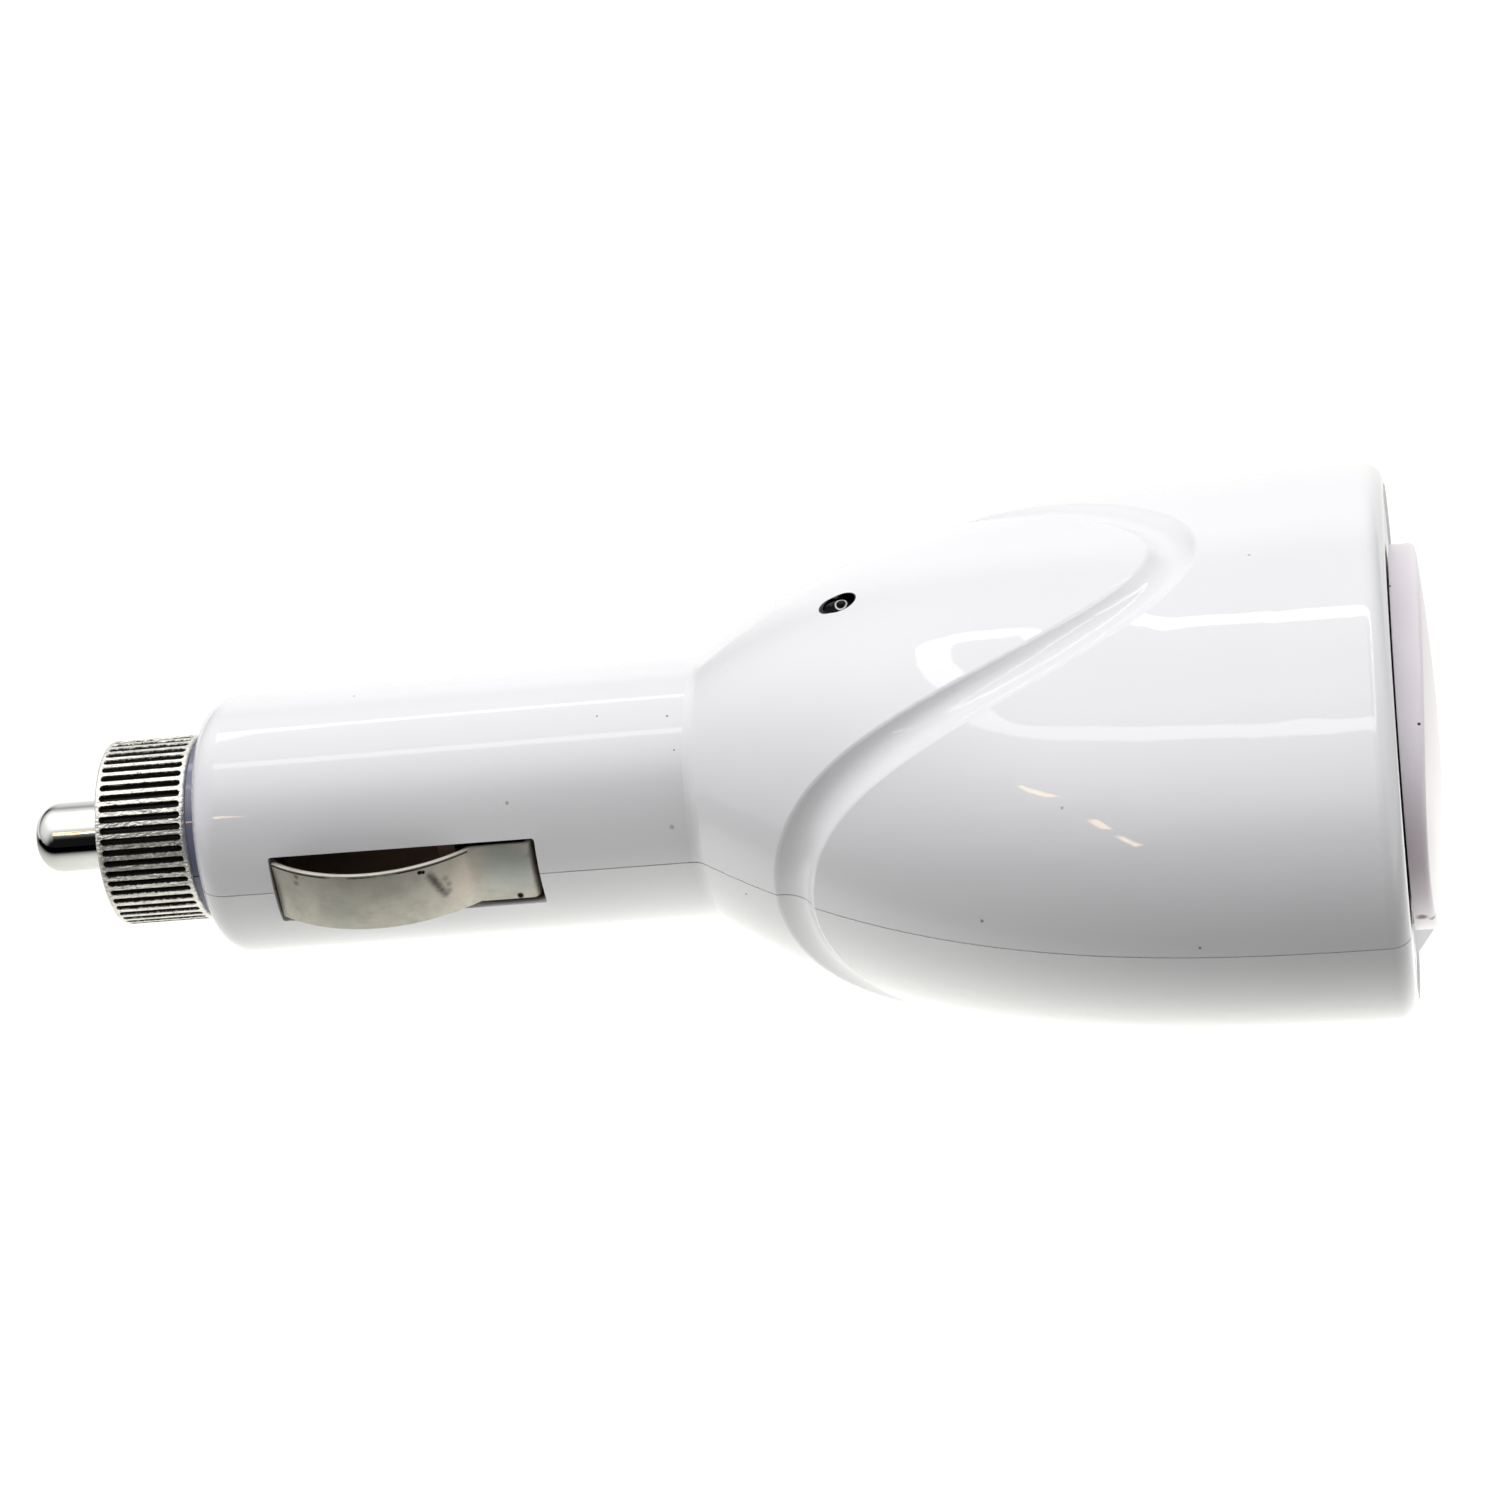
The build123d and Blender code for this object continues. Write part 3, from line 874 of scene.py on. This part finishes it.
class SubAssembly:
    """A group of pieces that are finished together."""

    def build(self) -> None:
        """Makes and dresses the pieces of the group."""
        raise NotImplementedError

    def put_on(self, material: bpy.types.Material, *holders: bpy.types.Object) -> None:
        """Gives objects one material in place of what they had.

        Args:
            material: the material.
            holders: the objects.
        """
        for holder in holders:
            holder.data.materials.clear()
            holder.data.materials.append(material)

    def dress(self, finish: Finish, *nodes: str) -> bpy.types.Material:
        """Gives CAD nodes one finish.

        Args:
            finish: the finish to build.
            nodes: names of the nodes.

        Returns:
            The material that they share.
        """
        material = finish.build()
        for name in nodes:
            self.put_on(material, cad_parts[name])
            log.info("%s: %s", name, finish.name)
        return material

    def copy_node(self, node: str, name: str) -> bpy.types.Object:
        """Makes a copy of a CAD node with one vertex at each corner, left selected.

        Args:
            node: name of the CAD node.
            name: name of the copy.

        Returns:
            The copy.
        """
        bpy.ops.object.select_all(action="DESELECT")
        piece = bpy.data.objects.new(name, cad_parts[node].data.copy())
        bpy.context.scene.collection.objects.link(piece)
        piece.select_set(True)
        bpy.context.view_layer.objects.active = piece
        bpy.ops.mesh.customdata_custom_splitnormals_clear()
        bpy.ops.object.mode_set(mode="EDIT")
        bpy.ops.mesh.select_all(action="SELECT")
        bpy.ops.mesh.remove_doubles(threshold=WELD_MM * MM)
        bpy.ops.object.mode_set(mode="OBJECT")
        return piece


@dataclass
class Housing(SubAssembly):
    """Two half shells of white plastic that meet at the parting line."""

    # Painted shade: a brown darkening of the slot insides, deeper towards the axis
    slot_x_mm: Span = (-35.5, -11.0)
    slot_r_mm: Span = (10.12, 9.3)
    slot_shade_hex: str = "7A6658"
    # Painted shade: lavender grey on the barrel's end shoulder, beside the nose ring
    collar_x_mm: Span = (-48.0, -37.6)
    collar_r_mm: Span = (9.7, 8.5)
    collar_shade_hex: str = "7A7D92"
    # Painted shade: black on the walls of the hole above the indicator lens
    light_hole_shade: tuple[Mark, ...] = (
        Mark((12.5, 0.0, 14.75), 1.45, "060505", 1.0, 0.05),
        Mark((13.05, 0.0, 15.25), 1.42, "060505", 1.0, 0.05),
    )
    specks: tuple[Mark, ...] = (
        Mark((-13.66, -8.63, 5.61), 0.26, "B4947A", 0.8, ragged=0.6),
        Mark((-1.10, -9.83, 3.06), 0.40, "BFA58E", 0.7, ragged=0.7),
        Mark((-1.06, -4.12, 9.44), 0.13, "857463", 0.8),
        Mark((-0.50, -6.60, 7.91), 0.11, "857463", 0.7),
        Mark((-6.55, -3.63, 9.64), 0.12, "8E867E", 0.7),
        Mark((-26.48, 1.37, 10.15), 0.14, "9A9088", 0.7),
        Mark((29.90, -21.57, 9.90), 0.14, "9A9088", 0.7),
        Mark((23.24, -23.89, 2.14), 0.17, "8A847C", 0.8),
        Mark((38.98, -27.38, 0.86), 0.15, "8A847C", 0.8),
        Mark((44.07, -1.72, 17.91), 0.15, "A49E96", 0.7),
        Mark((4.31, -13.41, -1.14), 0.12, "857D74", 0.8),
    )

    def build(self) -> None:
        """Dresses both shells: white, with painted shade in the slots, in the indicator hole and at
        the nose end.
        """
        # Painted shade in the slots and on the barrel's end beside the nose ring
        slot_shade = Band(*self.slot_x_mm, *self.slot_r_mm, self.slot_shade_hex)
        collar_shade = Band(*self.collar_x_mm, *self.collar_r_mm, self.collar_shade_hex)
        # Gloss ABS from a polished mould: white and opaque, so a lamp shows as a crisp outline
        self.dress(
            MouldedPlastic(
                "gloss_white_abs_moulded",
                covers=(slot_shade, collar_shade, *self.light_hole_shade, *self.specks),
            ),
            "upper_shell",
            "lower_shell",
        )


@dataclass
class Nose(SubAssembly):
    """Knurled ring and sprung pin at the tip."""

    ring_x_mm: Span = (-47.02, -40.45)
    # Painted shade: black in the ring's flutes, below a radius that noise frays
    flute_shade_r_mm: Span = (7.46, 7.36)
    flute_shade_hex: str = "0E0C0A"
    flute_shade_strength: float = 0.95
    flute_shade_ragged_mm: float = 0.3

    def build(self) -> None:
        """Dresses the ring, with painted shade in its flutes, and the pin."""
        # Painted shade in the flutes
        flute_shade = Band(
            *self.ring_x_mm,
            *self.flute_shade_r_mm,
            self.flute_shade_hex,
            self.flute_shade_strength,
            self.flute_shade_ragged_mm,
        )
        # Nickel plate over a knurled casting: warm silver ridges with a coarse sparkle, with painted
        # shade black in the flutes
        self.dress(
            Metal(
                "nickel_plate_knurled",
                hex_value="F0EEE8",
                tarnish_hex="BDB8AC",
                roughness=0.3,
                rough_spread=0.25,
                grain_mm=(0.4, 0.18, 0.18),
                grain_depth_mm=0.12,
                tarnish_mm=0.9,
                tarnish_share=0.5,
                bump_strength=0.9,
                covers=(flute_shade,),
            ),
            "nose_ring",
        )
        # Polished nickel plate: a clear mirror with a trace of drawing lines along the pin
        self.dress(
            Metal(
                "nickel_plate_polished",
                hex_value="D2D2D0",
                tarnish_hex="B9B8B2",
                roughness=0.05,
                rough_spread=0.05,
                grain_mm=(3.0, 0.3, 0.3),
                tarnish_share=0.3,
                bump_strength=0.03,
            ),
            "centre_pin",
        )


@dataclass
class Fuse(SubAssembly):
    """Glass fuse, its spring and its terminal inside the barrel."""

    coil_smooth_deg: float = 70.0

    def build(self) -> None:
        """Dresses the fuse, its spring and the terminal that they stand on."""
        # Nickelled brass caps: dull silver painted dark grey, as shade inside the barrel
        self.dress(
            Metal("nickelled_brass_drawn", hex_value="8D877A", roughness=0.36, tarnish_mm=2.0),
            "fuse_front_cap",
            "fuse_rear_cap",
            "fuse_element",
        )
        # Drawn glass tube: clear, lines along its length
        self.dress(DrawnGlass("soda_lime_glass_drawn"), "fuse_glass")
        # Spring steel wire: grey with a fine even grain
        wire = self.dress(
            Metal(
                "spring_steel_wire_drawn",
                hex_value="A9A8A6",
                roughness=0.26,
                grain_mm=(0.2, 0.2, 0.2),
            ),
            "fuse_spring",
        )
        self.wind_coil(wire)
        # Turned brass: yellow with fine rings
        self.dress(
            Metal(
                "brass_turned",
                hex_value="C9A75A",
                tarnish_hex="8A6B34",
                roughness=0.2,
                grain_mm=(0.08, 4.0, 4.0),
            ),
            "fuse_terminal",
        )

    def wind_coil(self, wire: bpy.types.Material) -> None:
        """Makes a smooth-shaded copy of the spring, which stands for it.

        Args:
            wire: the spring's material.
        """
        coil = self.copy_node("fuse_spring", "fuse_spring_coil")
        bpy.ops.object.shade_smooth_by_angle(angle=math.radians(self.coil_smooth_deg))
        coil.select_set(False)
        self.put_on(wire, coil)
        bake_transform(coil)
        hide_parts("fuse_spring")
        log.info("%s stands for fuse_spring, between pin and housing", coil.name)


@dataclass
class SideContacts(SubAssembly):
    """Bent spring leaves in the two side slots."""

    edge_mm: float = 0.09
    edge_segments: int = 2
    leaf_smooth_deg: float = 40.0
    edge_line: Stripe = Stripe(2.24, 2.41, -17.2, "1E1A17", 0.85)
    marks: tuple[Mark, ...] = (
        Mark((-14.3, -9.8, 0.4), 3.2, "A7AFB0", 0.6, 0.7),
        Mark((-17.9, -10.5, 0.2), 2.6, "C2B3A6", 0.5, 0.8),
        Mark((-20.05, -11.55, 1.4), 0.7, "5A564E", 0.8, 0.9, 0.35),
        Mark((-19.9, -11.48, 1.0), 0.75, "45423B", 0.85, 0.9, 0.35),
        Mark((-19.75, -11.42, 0.6), 0.75, "3F3C36", 0.85, 0.9, 0.35),
        Mark((-19.6, -11.35, 0.2), 0.7, "45423B", 0.85, 0.9, 0.35),
        Mark((-19.45, -11.29, -0.2), 0.7, "504C45", 0.85, 0.9, 0.35),
        Mark((-19.25, -11.2, -0.6), 0.65, "5A564E", 0.8, 0.9, 0.35),
        Mark((-19.05, -11.12, 0.75), 0.55, "7F7A6F", 0.7, 0.9, 0.35),
        Mark((-18.9, -11.05, 0.2), 0.55, "77726A", 0.7, 0.9, 0.35),
        Mark((-18.95, -11.08, -0.35), 0.55, "77726A", 0.7, 0.9, 0.35),
        Mark((-30.6, -11.17, 2.0), 0.5, "5C574E", 0.75, 0.8, 0.5),
        Mark((-30.75, -11.1, 1.35), 0.5, "6C675E", 0.75, 0.8, 0.5),
        Mark((-20.75, -11.8, 1.95), 0.3, "14110E", 1.0, 0.5, 0.3),
        Mark((-20.5, -11.72, 1.9), 0.27, "14110E", 1.0, 0.5, 0.3),
        Mark((-13.86, -9.8, -2.2), 0.42, "14110E", 1.0, 0.5, 0.3),
        Mark((-12.6, -9.8, 1.4), 1.1, "6F7068", 0.55, 0.9, 0.9),
        Mark((-27.5, -12.3, -1.0), 2.4, "9DA39B", 0.45, 0.9),
    )

    def build(self) -> None:
        """Eases the edges of both leaves, which catch the light, and dresses them."""
        # Nickel silver strip: satin, rolled, with handling stains and a dark broken edge line
        strip = Metal(
            "nickel_silver_strip_rolled",
            hex_value="C9C6BC",
            tarnish_hex="ABA8A0",
            roughness=0.56,
            rough_spread=0.12,
            grain_mm=(1.6, 0.25, 0.25),
            tarnish_mm=1.6,
            tarnish_share=0.55,
            bump_strength=0.12,
            covers=(self.edge_line, *self.marks),
            cover_roughness=0.5,
        ).build()
        for node, body in (("near_contact", Body.NEAR_LEAF), ("far_contact", Body.FAR_LEAF)):
            leaf = self.eased_copy(node, body, Slot.SPRING_STRIP)
            self.put_on(strip, leaf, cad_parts[node])

    def eased_copy(self, node: str, body: Body, slot: Slot) -> bpy.types.Object:
        """Makes a copy of a CAD node with its sharp edges eased, which stands for the node.

        Args:
            node: name of the CAD node.
            body: body that the copy rides on.
            slot: slot of the record for its finish; not used.

        Returns:
            The copy.
        """
        piece = self.copy_node(node, f"{node}_eased")
        bpy.ops.object.mode_set(mode="EDIT")
        bpy.ops.mesh.dissolve_limited(angle_limit=FLAT_ANGLE)
        bpy.ops.object.mode_set(mode="OBJECT")
        ease = piece.modifiers.new("ease", "BEVEL")
        ease.width = self.edge_mm * MM
        ease.segments = self.edge_segments
        ease.limit_method = "ANGLE"
        ease.angle_limit = SHARP_ANGLE
        bpy.ops.object.modifier_apply(modifier=ease.name)
        bpy.ops.object.shade_smooth_by_angle(angle=math.radians(self.leaf_smooth_deg))
        piece.select_set(False)
        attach(piece, body.value)
        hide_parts(node)
        log.info("%s stands for %s, on %s", piece.name, node, body.value)
        return piece


@dataclass
class OutletEnd(SubAssembly):
    """End plate with two outlets behind a hinged lid."""

    rust: tuple[Mark, ...] = (
        Mark((54.66, -17.7, -4.66), 0.75, "6E3A26", 1.0, 0.6, 0.4),
        Mark((55.4, -17.3, -5.0), 0.55, "7A4630", 0.9, 0.6, 0.5),
    )
    # Painted shade on the lid's near side wall, fading out before its outer face
    lid_painted_shade: Mark = Mark((50.5, -17.0, 1.0), 7.5, "B3A5A6", 0.95, 0.9)
    lid_specks: tuple[Mark, ...] = (
        Mark((54.07, 1.37, 12.36), 0.16, "2A2428"),
        Mark((55.59, -12.93, 9.12), 0.16, "2A2428"),
    )

    def build(self) -> None:
        """Dresses the plate, the lid, the hinge and the outlets."""
        # Satin ABS: the same white as the shells from a spark-eroded mould
        self.dress(
            MouldedPlastic(
                "satin_white_abs_moulded", hex_value="E9E8EC", roughness=0.3, skin_strength=0.1
            ),
            "end_plate",
        )
        # Polypropylene: milky, faintly lilac, lets light in at its edges, with painted shade on its
        # near side wall
        self.dress(
            MouldedPlastic(
                "milky_polypropylene_moulded",
                hex_value="F2ECF1",
                shade_hex="EAE3EA",
                roughness=0.28,
                ior=1.49,
                skin_strength=0.05,
                subsurface=0.35,
                covers=(self.lid_painted_shade, *self.rust, *self.lid_specks),
            ),
            "outlet_lid",
        )
        # Mild steel pin: grey, gone rust brown
        self.dress(
            Metal(
                "mild_steel_rusted",
                hex_value="8C8178",
                tarnish_hex="6B3A24",
                roughness=0.4,
                tarnish_share=0.9,
            ),
            "lid_hinge_pin",
        )
        # Tinned steel sheet: pale grey with rolling lines
        self.dress(
            Metal(
                "tinned_steel_sheet_rolled",
                hex_value="C2C2C0",
                roughness=0.22,
                grain_mm=(2.5, 0.15, 0.15),
            ),
            "usb_shell_near",
            "usb_shell_far",
        )
        # Glass-filled nylon: off-white and matt
        self.dress(
            MouldedPlastic(
                "white_nylon_moulded",
                hex_value="EAE8E0",
                shade_hex="DFDCD2",
                roughness=0.5,
                skin_strength=0.3,
                skin_mm=0.3,
            ),
            "usb_insulator_near",
            "usb_insulator_far",
        )
        # Gilt phosphor bronze: warm yellow and bright
        self.dress(
            Metal(
                "phosphor_bronze_gilt",
                hex_value="D8B25C",
                tarnish_hex="A67F38",
                roughness=0.16,
                tarnish_share=0.2,
            ),
            "usb_contacts",
        )


@dataclass
class Converter(SubAssembly):
    """Circuit board and the parts that stand on it."""

    can_tops_mm: tuple[tuple[str, float], ...] = (
        ("input_capacitor", 4.85),
        ("output_capacitor", 4.15),
    )

    def build(self) -> None:
        """Dresses the board and its parts."""
        # Green solder mask over tracks
        self.dress(PrintedBoard("glass_epoxy_laminate_masked"), "circuit_board")
        # Sintered ferrite: dark grey and finely pitted
        self.dress(
            MouldedPlastic(
                "ferrite_sintered",
                hex_value="2B2C2F",
                shade_hex="222326",
                roughness=0.55,
                skin_strength=0.4,
                skin_mm=0.4,
            ),
            "inductor_core",
        )
        # Enamelled copper wire: shiny brown turns
        self.dress(WoundWire("enamelled_copper_wound"), "inductor_winding")
        for name, top_mm in self.can_tops_mm:
            # Sleeved aluminium can: dark sleeve with a bare top
            self.dress(SleevedCan(f"sleeved_aluminium_drawn_{name}", top_mm=top_mm), name)
        # Moulded epoxy: black with a fine matt grain
        self.dress(
            MouldedPlastic(
                "black_epoxy_moulded",
                hex_value="17171A",
                shade_hex="101012",
                roughness=0.48,
                skin_strength=0.4,
                skin_mm=0.2,
            ),
            "controller_chip",
            "rectifier_diode",
        )


@dataclass
class Indicator(SubAssembly):
    """Smoked lens under the hole on top of the head, on two legs."""

    # Painted reflections on the lens: a pale ring of lamp light and a dim grey spot
    painted_ring_reflection: Ring = Ring((12.95, 0.0), 0.42, 0.075, 0.62, "CDD2D2", 0.9)
    painted_spot_reflection: Mark = Mark((12.2, 0.0, 15.6), 0.22, "4A4C4C", 0.7, 0.8, 0.5)

    def build(self) -> None:
        """Dresses the lens and its legs."""
        # Cast epoxy: smoked nearly black, glossy as a drop but with a low specular level; its ring
        # of light and grey spot are painted reflections
        self.dress(
            MouldedPlastic(
                "smoked_epoxy_cast",
                hex_value="050506",
                shade_hex="020203",
                rough_spread=0.01,
                specular=0.03,
                covers=(self.painted_ring_reflection, self.painted_spot_reflection),
            ),
            "indicator_led",
        )
        # Tinned steel legs: dull silver
        self.dress(Metal("tinned_steel_wire_drawn", hex_value="BDBDBB", roughness=0.3), "led_leads")


@dataclass
class Leads(SubAssembly):
    """Hook-up leads between the contacts and the board."""

    jackets: tuple[tuple[str, str, str, tuple[str, ...]], ...] = (
        ("red_pvc_extruded", "A5201C", "8E1A17", ("positive_lead",)),
        ("black_pvc_extruded", "1A1A1C", "121214", ("near_negative_lead", "far_negative_lead")),
    )

    def build(self) -> None:
        """Dresses the leads in their insulation."""
        for name, hex_value, shade_hex, nodes in self.jackets:
            # Extruded PVC: soft satin, red for the positive lead and black for the others
            self.dress(
                MouldedPlastic(name, hex_value, shade_hex, roughness=0.36, skin_strength=0.1), *nodes
            )


@dataclass(frozen=True)
class Lobe:
    """A soft part of the tent's light: from nothing at start to full, by the cosine to its axis."""

    axis: Point
    start: float
    full: float
    strength: float


@dataclass(frozen=True)
class Pool:
    """A bright oval of the table, full to the inner half width and gone at the outer.

    The squeeze is its width by its length.
    """

    strength: float
    centre_x: float
    inner: float
    outer: float
    squeeze: float


@dataclass(frozen=True)
class Bar:
    """A far lamp: its centre, half of its length as a vector and half of its width."""

    centre: Point
    half: Point
    half_width: float


@dataclass
class Studio:
    """White light table, frame lamp, far warm lamps, tent with an open front, and the camera."""

    camera_mm: Point = (60.1445, -291.1620, 189.0565)
    camera_right: Point = (0.984029, 0.092423, -0.152135)
    camera_up: Point = (0.077456, 0.547188, 0.833418)
    camera_back: Point = (0.160274, -0.831891, 0.531290)
    lens_mm: float = 108.12
    sensor_mm: float = 36.0
    clip_start: float = 0.01
    table_half: float = 12.0
    table_gap: float = 0.0002
    pools: tuple[Pool, ...] = (
        Pool(1.25, 0.01, 0.024, 0.068, 0.45),
        Pool(0.33, 0.04, 0.024, 0.062, 0.8),
    )
    table_back_y: Span = (0.02, 0.06)
    table_back_strength: float = 1.04
    table_seen_strength: float = 1.12
    table_hex: str = "FFFFFA"
    lamp_centre: Point = (-0.0385, 0.548, 1.9)
    lamp_half: float = 0.678
    lamp_corner: float = 0.2
    lamp_corner_segments: int = 16
    lamp_half_band: float = 0.08
    lamp_hex: str = "FFFFFF"
    lamp_strength: float = 4.2
    bars: tuple[Bar, ...] = (
        Bar((-5.88, -6.32, 12.26), (0.34, -0.45, -0.06), 0.17),
        Bar((-4.90, -9.27, 10.70), (0.08, -0.35, -0.28), 0.17),
        Bar((-4.46, -10.69, 9.53), (0.20, -0.50, -0.47), 0.14),
    )
    bar_hex: str = "FFDDB0"
    bar_strength: float = 8.0
    room_strength: float = 0.01
    # Back wall, roof, wide glow of the roof, roof above the front, nose side, outlet side
    lobes: tuple[Lobe, ...] = (
        Lobe((0.0, 1.0, 0.05), 0.8, 0.97, 1.02),
        Lobe((0.0, 0.25, 0.97), 0.7, 0.98, 0.12),
        Lobe((0.0, 0.25, 0.97), 0.4, 0.9, 0.6),
        Lobe((0.0, -0.2, 0.98), 0.82, 0.98, 0.48),
        Lobe((-0.7, 0.0, 0.7), 0.5, 0.95, 1.12),
        Lobe((1.0, 0.0, 0.2), 0.65, 0.95, 1.15),
    )

    def build(self, low: list[float]) -> None:
        """Sets everything up round the object.

        Args:
            low: lowest corner of the object.
        """
        self.lay_table(low[2] - self.table_gap)
        self.hang_lamp()
        self.hang_bars()
        self.raise_tent()
        self.set_camera()
        bpy.context.scene.view_settings.view_transform = "Standard"

    def lay_table(self, height: float) -> None:
        """Lays the white table, lit from under the object as a light table is.

        Args:
            height: height of its top.
        """
        bpy.ops.mesh.primitive_plane_add(size=2 * self.table_half, location=(0, 0, height))
        table = bpy.context.object
        table.name = "table"
        bpy.ops.object.transform_apply(location=True, rotation=True, scale=True)
        material = bare_material("white_acrylic_light_table")
        tree = material.node_tree
        place = add_node(tree, "ShaderNodeTexCoord").outputs["Object"]
        sides = add_node(tree, "ShaderNodeSeparateXYZ", {"Vector": place})
        total = add_node(
            tree,
            "ShaderNodeMapRange",
            {
                "Value": sides.outputs["Y"],
                "From Min": self.table_back_y[0],
                "From Max": self.table_back_y[1],
                "To Max": self.table_back_strength,
            },
            interpolation_type="SMOOTHSTEP",
        ).outputs["Result"]
        for pool in self.pools:
            drawn_in = add_node(
                tree,
                "ShaderNodeMapping",
                {
                    "Vector": place,
                    "Location": (-pool.squeeze * pool.centre_x, 0.0, 0.0),
                    "Scale": (pool.squeeze, 1.0, 0.0),
                },
            )
            away = add_node(
                tree, "ShaderNodeVectorMath", {0: drawn_in.outputs["Vector"]}, operation="LENGTH"
            )
            lit = add_node(
                tree,
                "ShaderNodeMapRange",
                {
                    "Value": away.outputs["Value"],
                    "From Min": pool.outer,
                    "From Max": pool.inner,
                    "To Max": pool.strength,
                },
                interpolation_type="SMOOTHSTEP",
            )
            total = add_node(
                tree, "ShaderNodeMath", {0: lit.outputs["Result"], 1: total}, operation="ADD"
            ).outputs["Value"]
        # The camera sees the table plain white, and only the object sees its pools
        seen = add_node(tree, "ShaderNodeLightPath")
        strength = add_node(
            tree,
            "ShaderNodeMix",
            {
                SHARE: seen.outputs["Is Camera Ray"],
                NUMBER_A: total,
                NUMBER_B: self.table_seen_strength,
            },
        )
        glow = add_node(
            tree,
            "ShaderNodeEmission",
            {"Color": colour(self.table_hex), "Strength": strength.outputs[MIXED_NUMBER]},
        )
        add_node(tree, "ShaderNodeOutputMaterial", {"Surface": glow.outputs["Emission"]})
        table.data.materials.append(material)
        table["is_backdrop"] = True

    def light_up(
        self, panel: bpy.types.Object, name: str, hex_value: str, strength: float
    ) -> None:
        """Makes a panel glow, unseen by the camera itself.

        Args:
            panel: the panel.
            name: name of its glow.
            hex_value: colour of its light.
            strength: radiance.
        """
        material = bare_material(name)
        tree = material.node_tree
        glow = add_node(
            tree, "ShaderNodeEmission", {"Color": colour(hex_value), "Strength": strength}
        )
        add_node(tree, "ShaderNodeOutputMaterial", {"Surface": glow.outputs["Emission"]})
        panel.data.materials.append(material)
        panel.visible_camera = False
        panel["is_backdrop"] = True

    def hang_lamp(self) -> None:
        """Hangs the frame lamp whose outline shows in the gloss of the shells."""
        outer_half = self.lamp_half + self.lamp_half_band
        bpy.ops.mesh.primitive_plane_add(size=2 * outer_half, location=self.lamp_centre)
        lamp = bpy.context.object
        lamp.name = "frame_lamp"
        bpy.ops.object.mode_set(mode="EDIT")
        bpy.ops.mesh.select_all(action="SELECT")
        bpy.ops.mesh.bevel(
            offset=self.lamp_corner + self.lamp_half_band,
            segments=self.lamp_corner_segments,
            affect="VERTICES",
        )
        bpy.ops.mesh.select_all(action="SELECT")
        bpy.ops.mesh.inset(thickness=2 * self.lamp_half_band)
        bpy.ops.mesh.delete(type="FACE")
        bpy.ops.object.mode_set(mode="OBJECT")
        bpy.ops.object.transform_apply(location=True, rotation=True, scale=True)
        self.light_up(lamp, "frame_lamp_glow", self.lamp_hex, self.lamp_strength)

    def hang_bars(self) -> None:
        """Hangs the far warm lamps that streak the head and glint in the nickel."""
        for number, bar in enumerate(self.bars):
            centre, along = Vector(bar.centre), Vector(bar.half)
            facing = -centre.normalized()
            across = facing.cross(along).normalized()
            turn = Matrix((along.normalized(), across, facing)).transposed()
            bpy.ops.mesh.primitive_plane_add(size=2.0, location=centre, rotation=turn.to_euler())
            panel = bpy.context.object
            panel.name = f"warm_bar_{number}"
            panel.scale = (along.length, bar.half_width, 1.0)
            bpy.ops.object.transform_apply(location=True, rotation=True, scale=True)
            self.light_up(panel, f"{panel.name}_glow", self.bar_hex, self.bar_strength)

    def raise_tent(self) -> None:
        """Makes the world a pale tent: soft lobes of light, and a dark open front."""
        world = bpy.data.worlds.new("tent")
        bpy.context.scene.world = world
        world.use_nodes = True
        tree = world.node_tree
        tree.nodes.clear()
        way = add_node(tree, "ShaderNodeTexCoord").outputs["Generated"]
        total: Socket | float = self.room_strength
        for lobe in self.lobes:
            facing = add_node(
                tree,
                "ShaderNodeVectorMath",
                {0: way, 1: Vector(lobe.axis).normalized()},
                operation="DOT_PRODUCT",
            )
            lit = add_node(
                tree,
                "ShaderNodeMapRange",
                {
                    "Value": facing.outputs["Value"],
                    "From Min": lobe.start,
                    "From Max": lobe.full,
                    "To Max": lobe.strength,
                },
                interpolation_type="SMOOTHSTEP",
            )
            total = add_node(
                tree, "ShaderNodeMath", {0: lit.outputs["Result"], 1: total}, operation="ADD"
            ).outputs["Value"]
        glow = add_node(tree, "ShaderNodeBackground", {"Color": total})
        add_node(tree, "ShaderNodeOutputWorld", {"Surface": glow.outputs["Background"]})

    def set_camera(self) -> None:
        """Puts the camera where the photograph was taken from."""
        data = bpy.data.cameras.new("camera")
        data.sensor_width = self.sensor_mm
        data.lens = self.lens_mm
        data.clip_start = self.clip_start
        camera = bpy.data.objects.new("camera", data)
        bpy.context.scene.collection.objects.link(camera)
        axes = Matrix((self.camera_right, self.camera_up, self.camera_back))
        place = Matrix.Translation(Vector(self.camera_mm) * MM)
        camera.matrix_world = place @ axes.transposed().to_4x4()
        bpy.context.scene.camera = camera


def main() -> None:
    """Builds the plug's sub-assemblies in order, then the studio round them."""
    logging.basicConfig(level=logging.INFO)
    cad_low, cad_high = cad_box()
    bpy.ops.object.select_all(action="DESELECT")
    for group in (
        Housing(),
        Nose(),
        Fuse(),
        SideContacts(),
        OutletEnd(),
        Converter(),
        Indicator(),
        Leads(),
    ):
        group.build()
    Studio().build(cad_low)


if __name__ == "__main__":
    main()
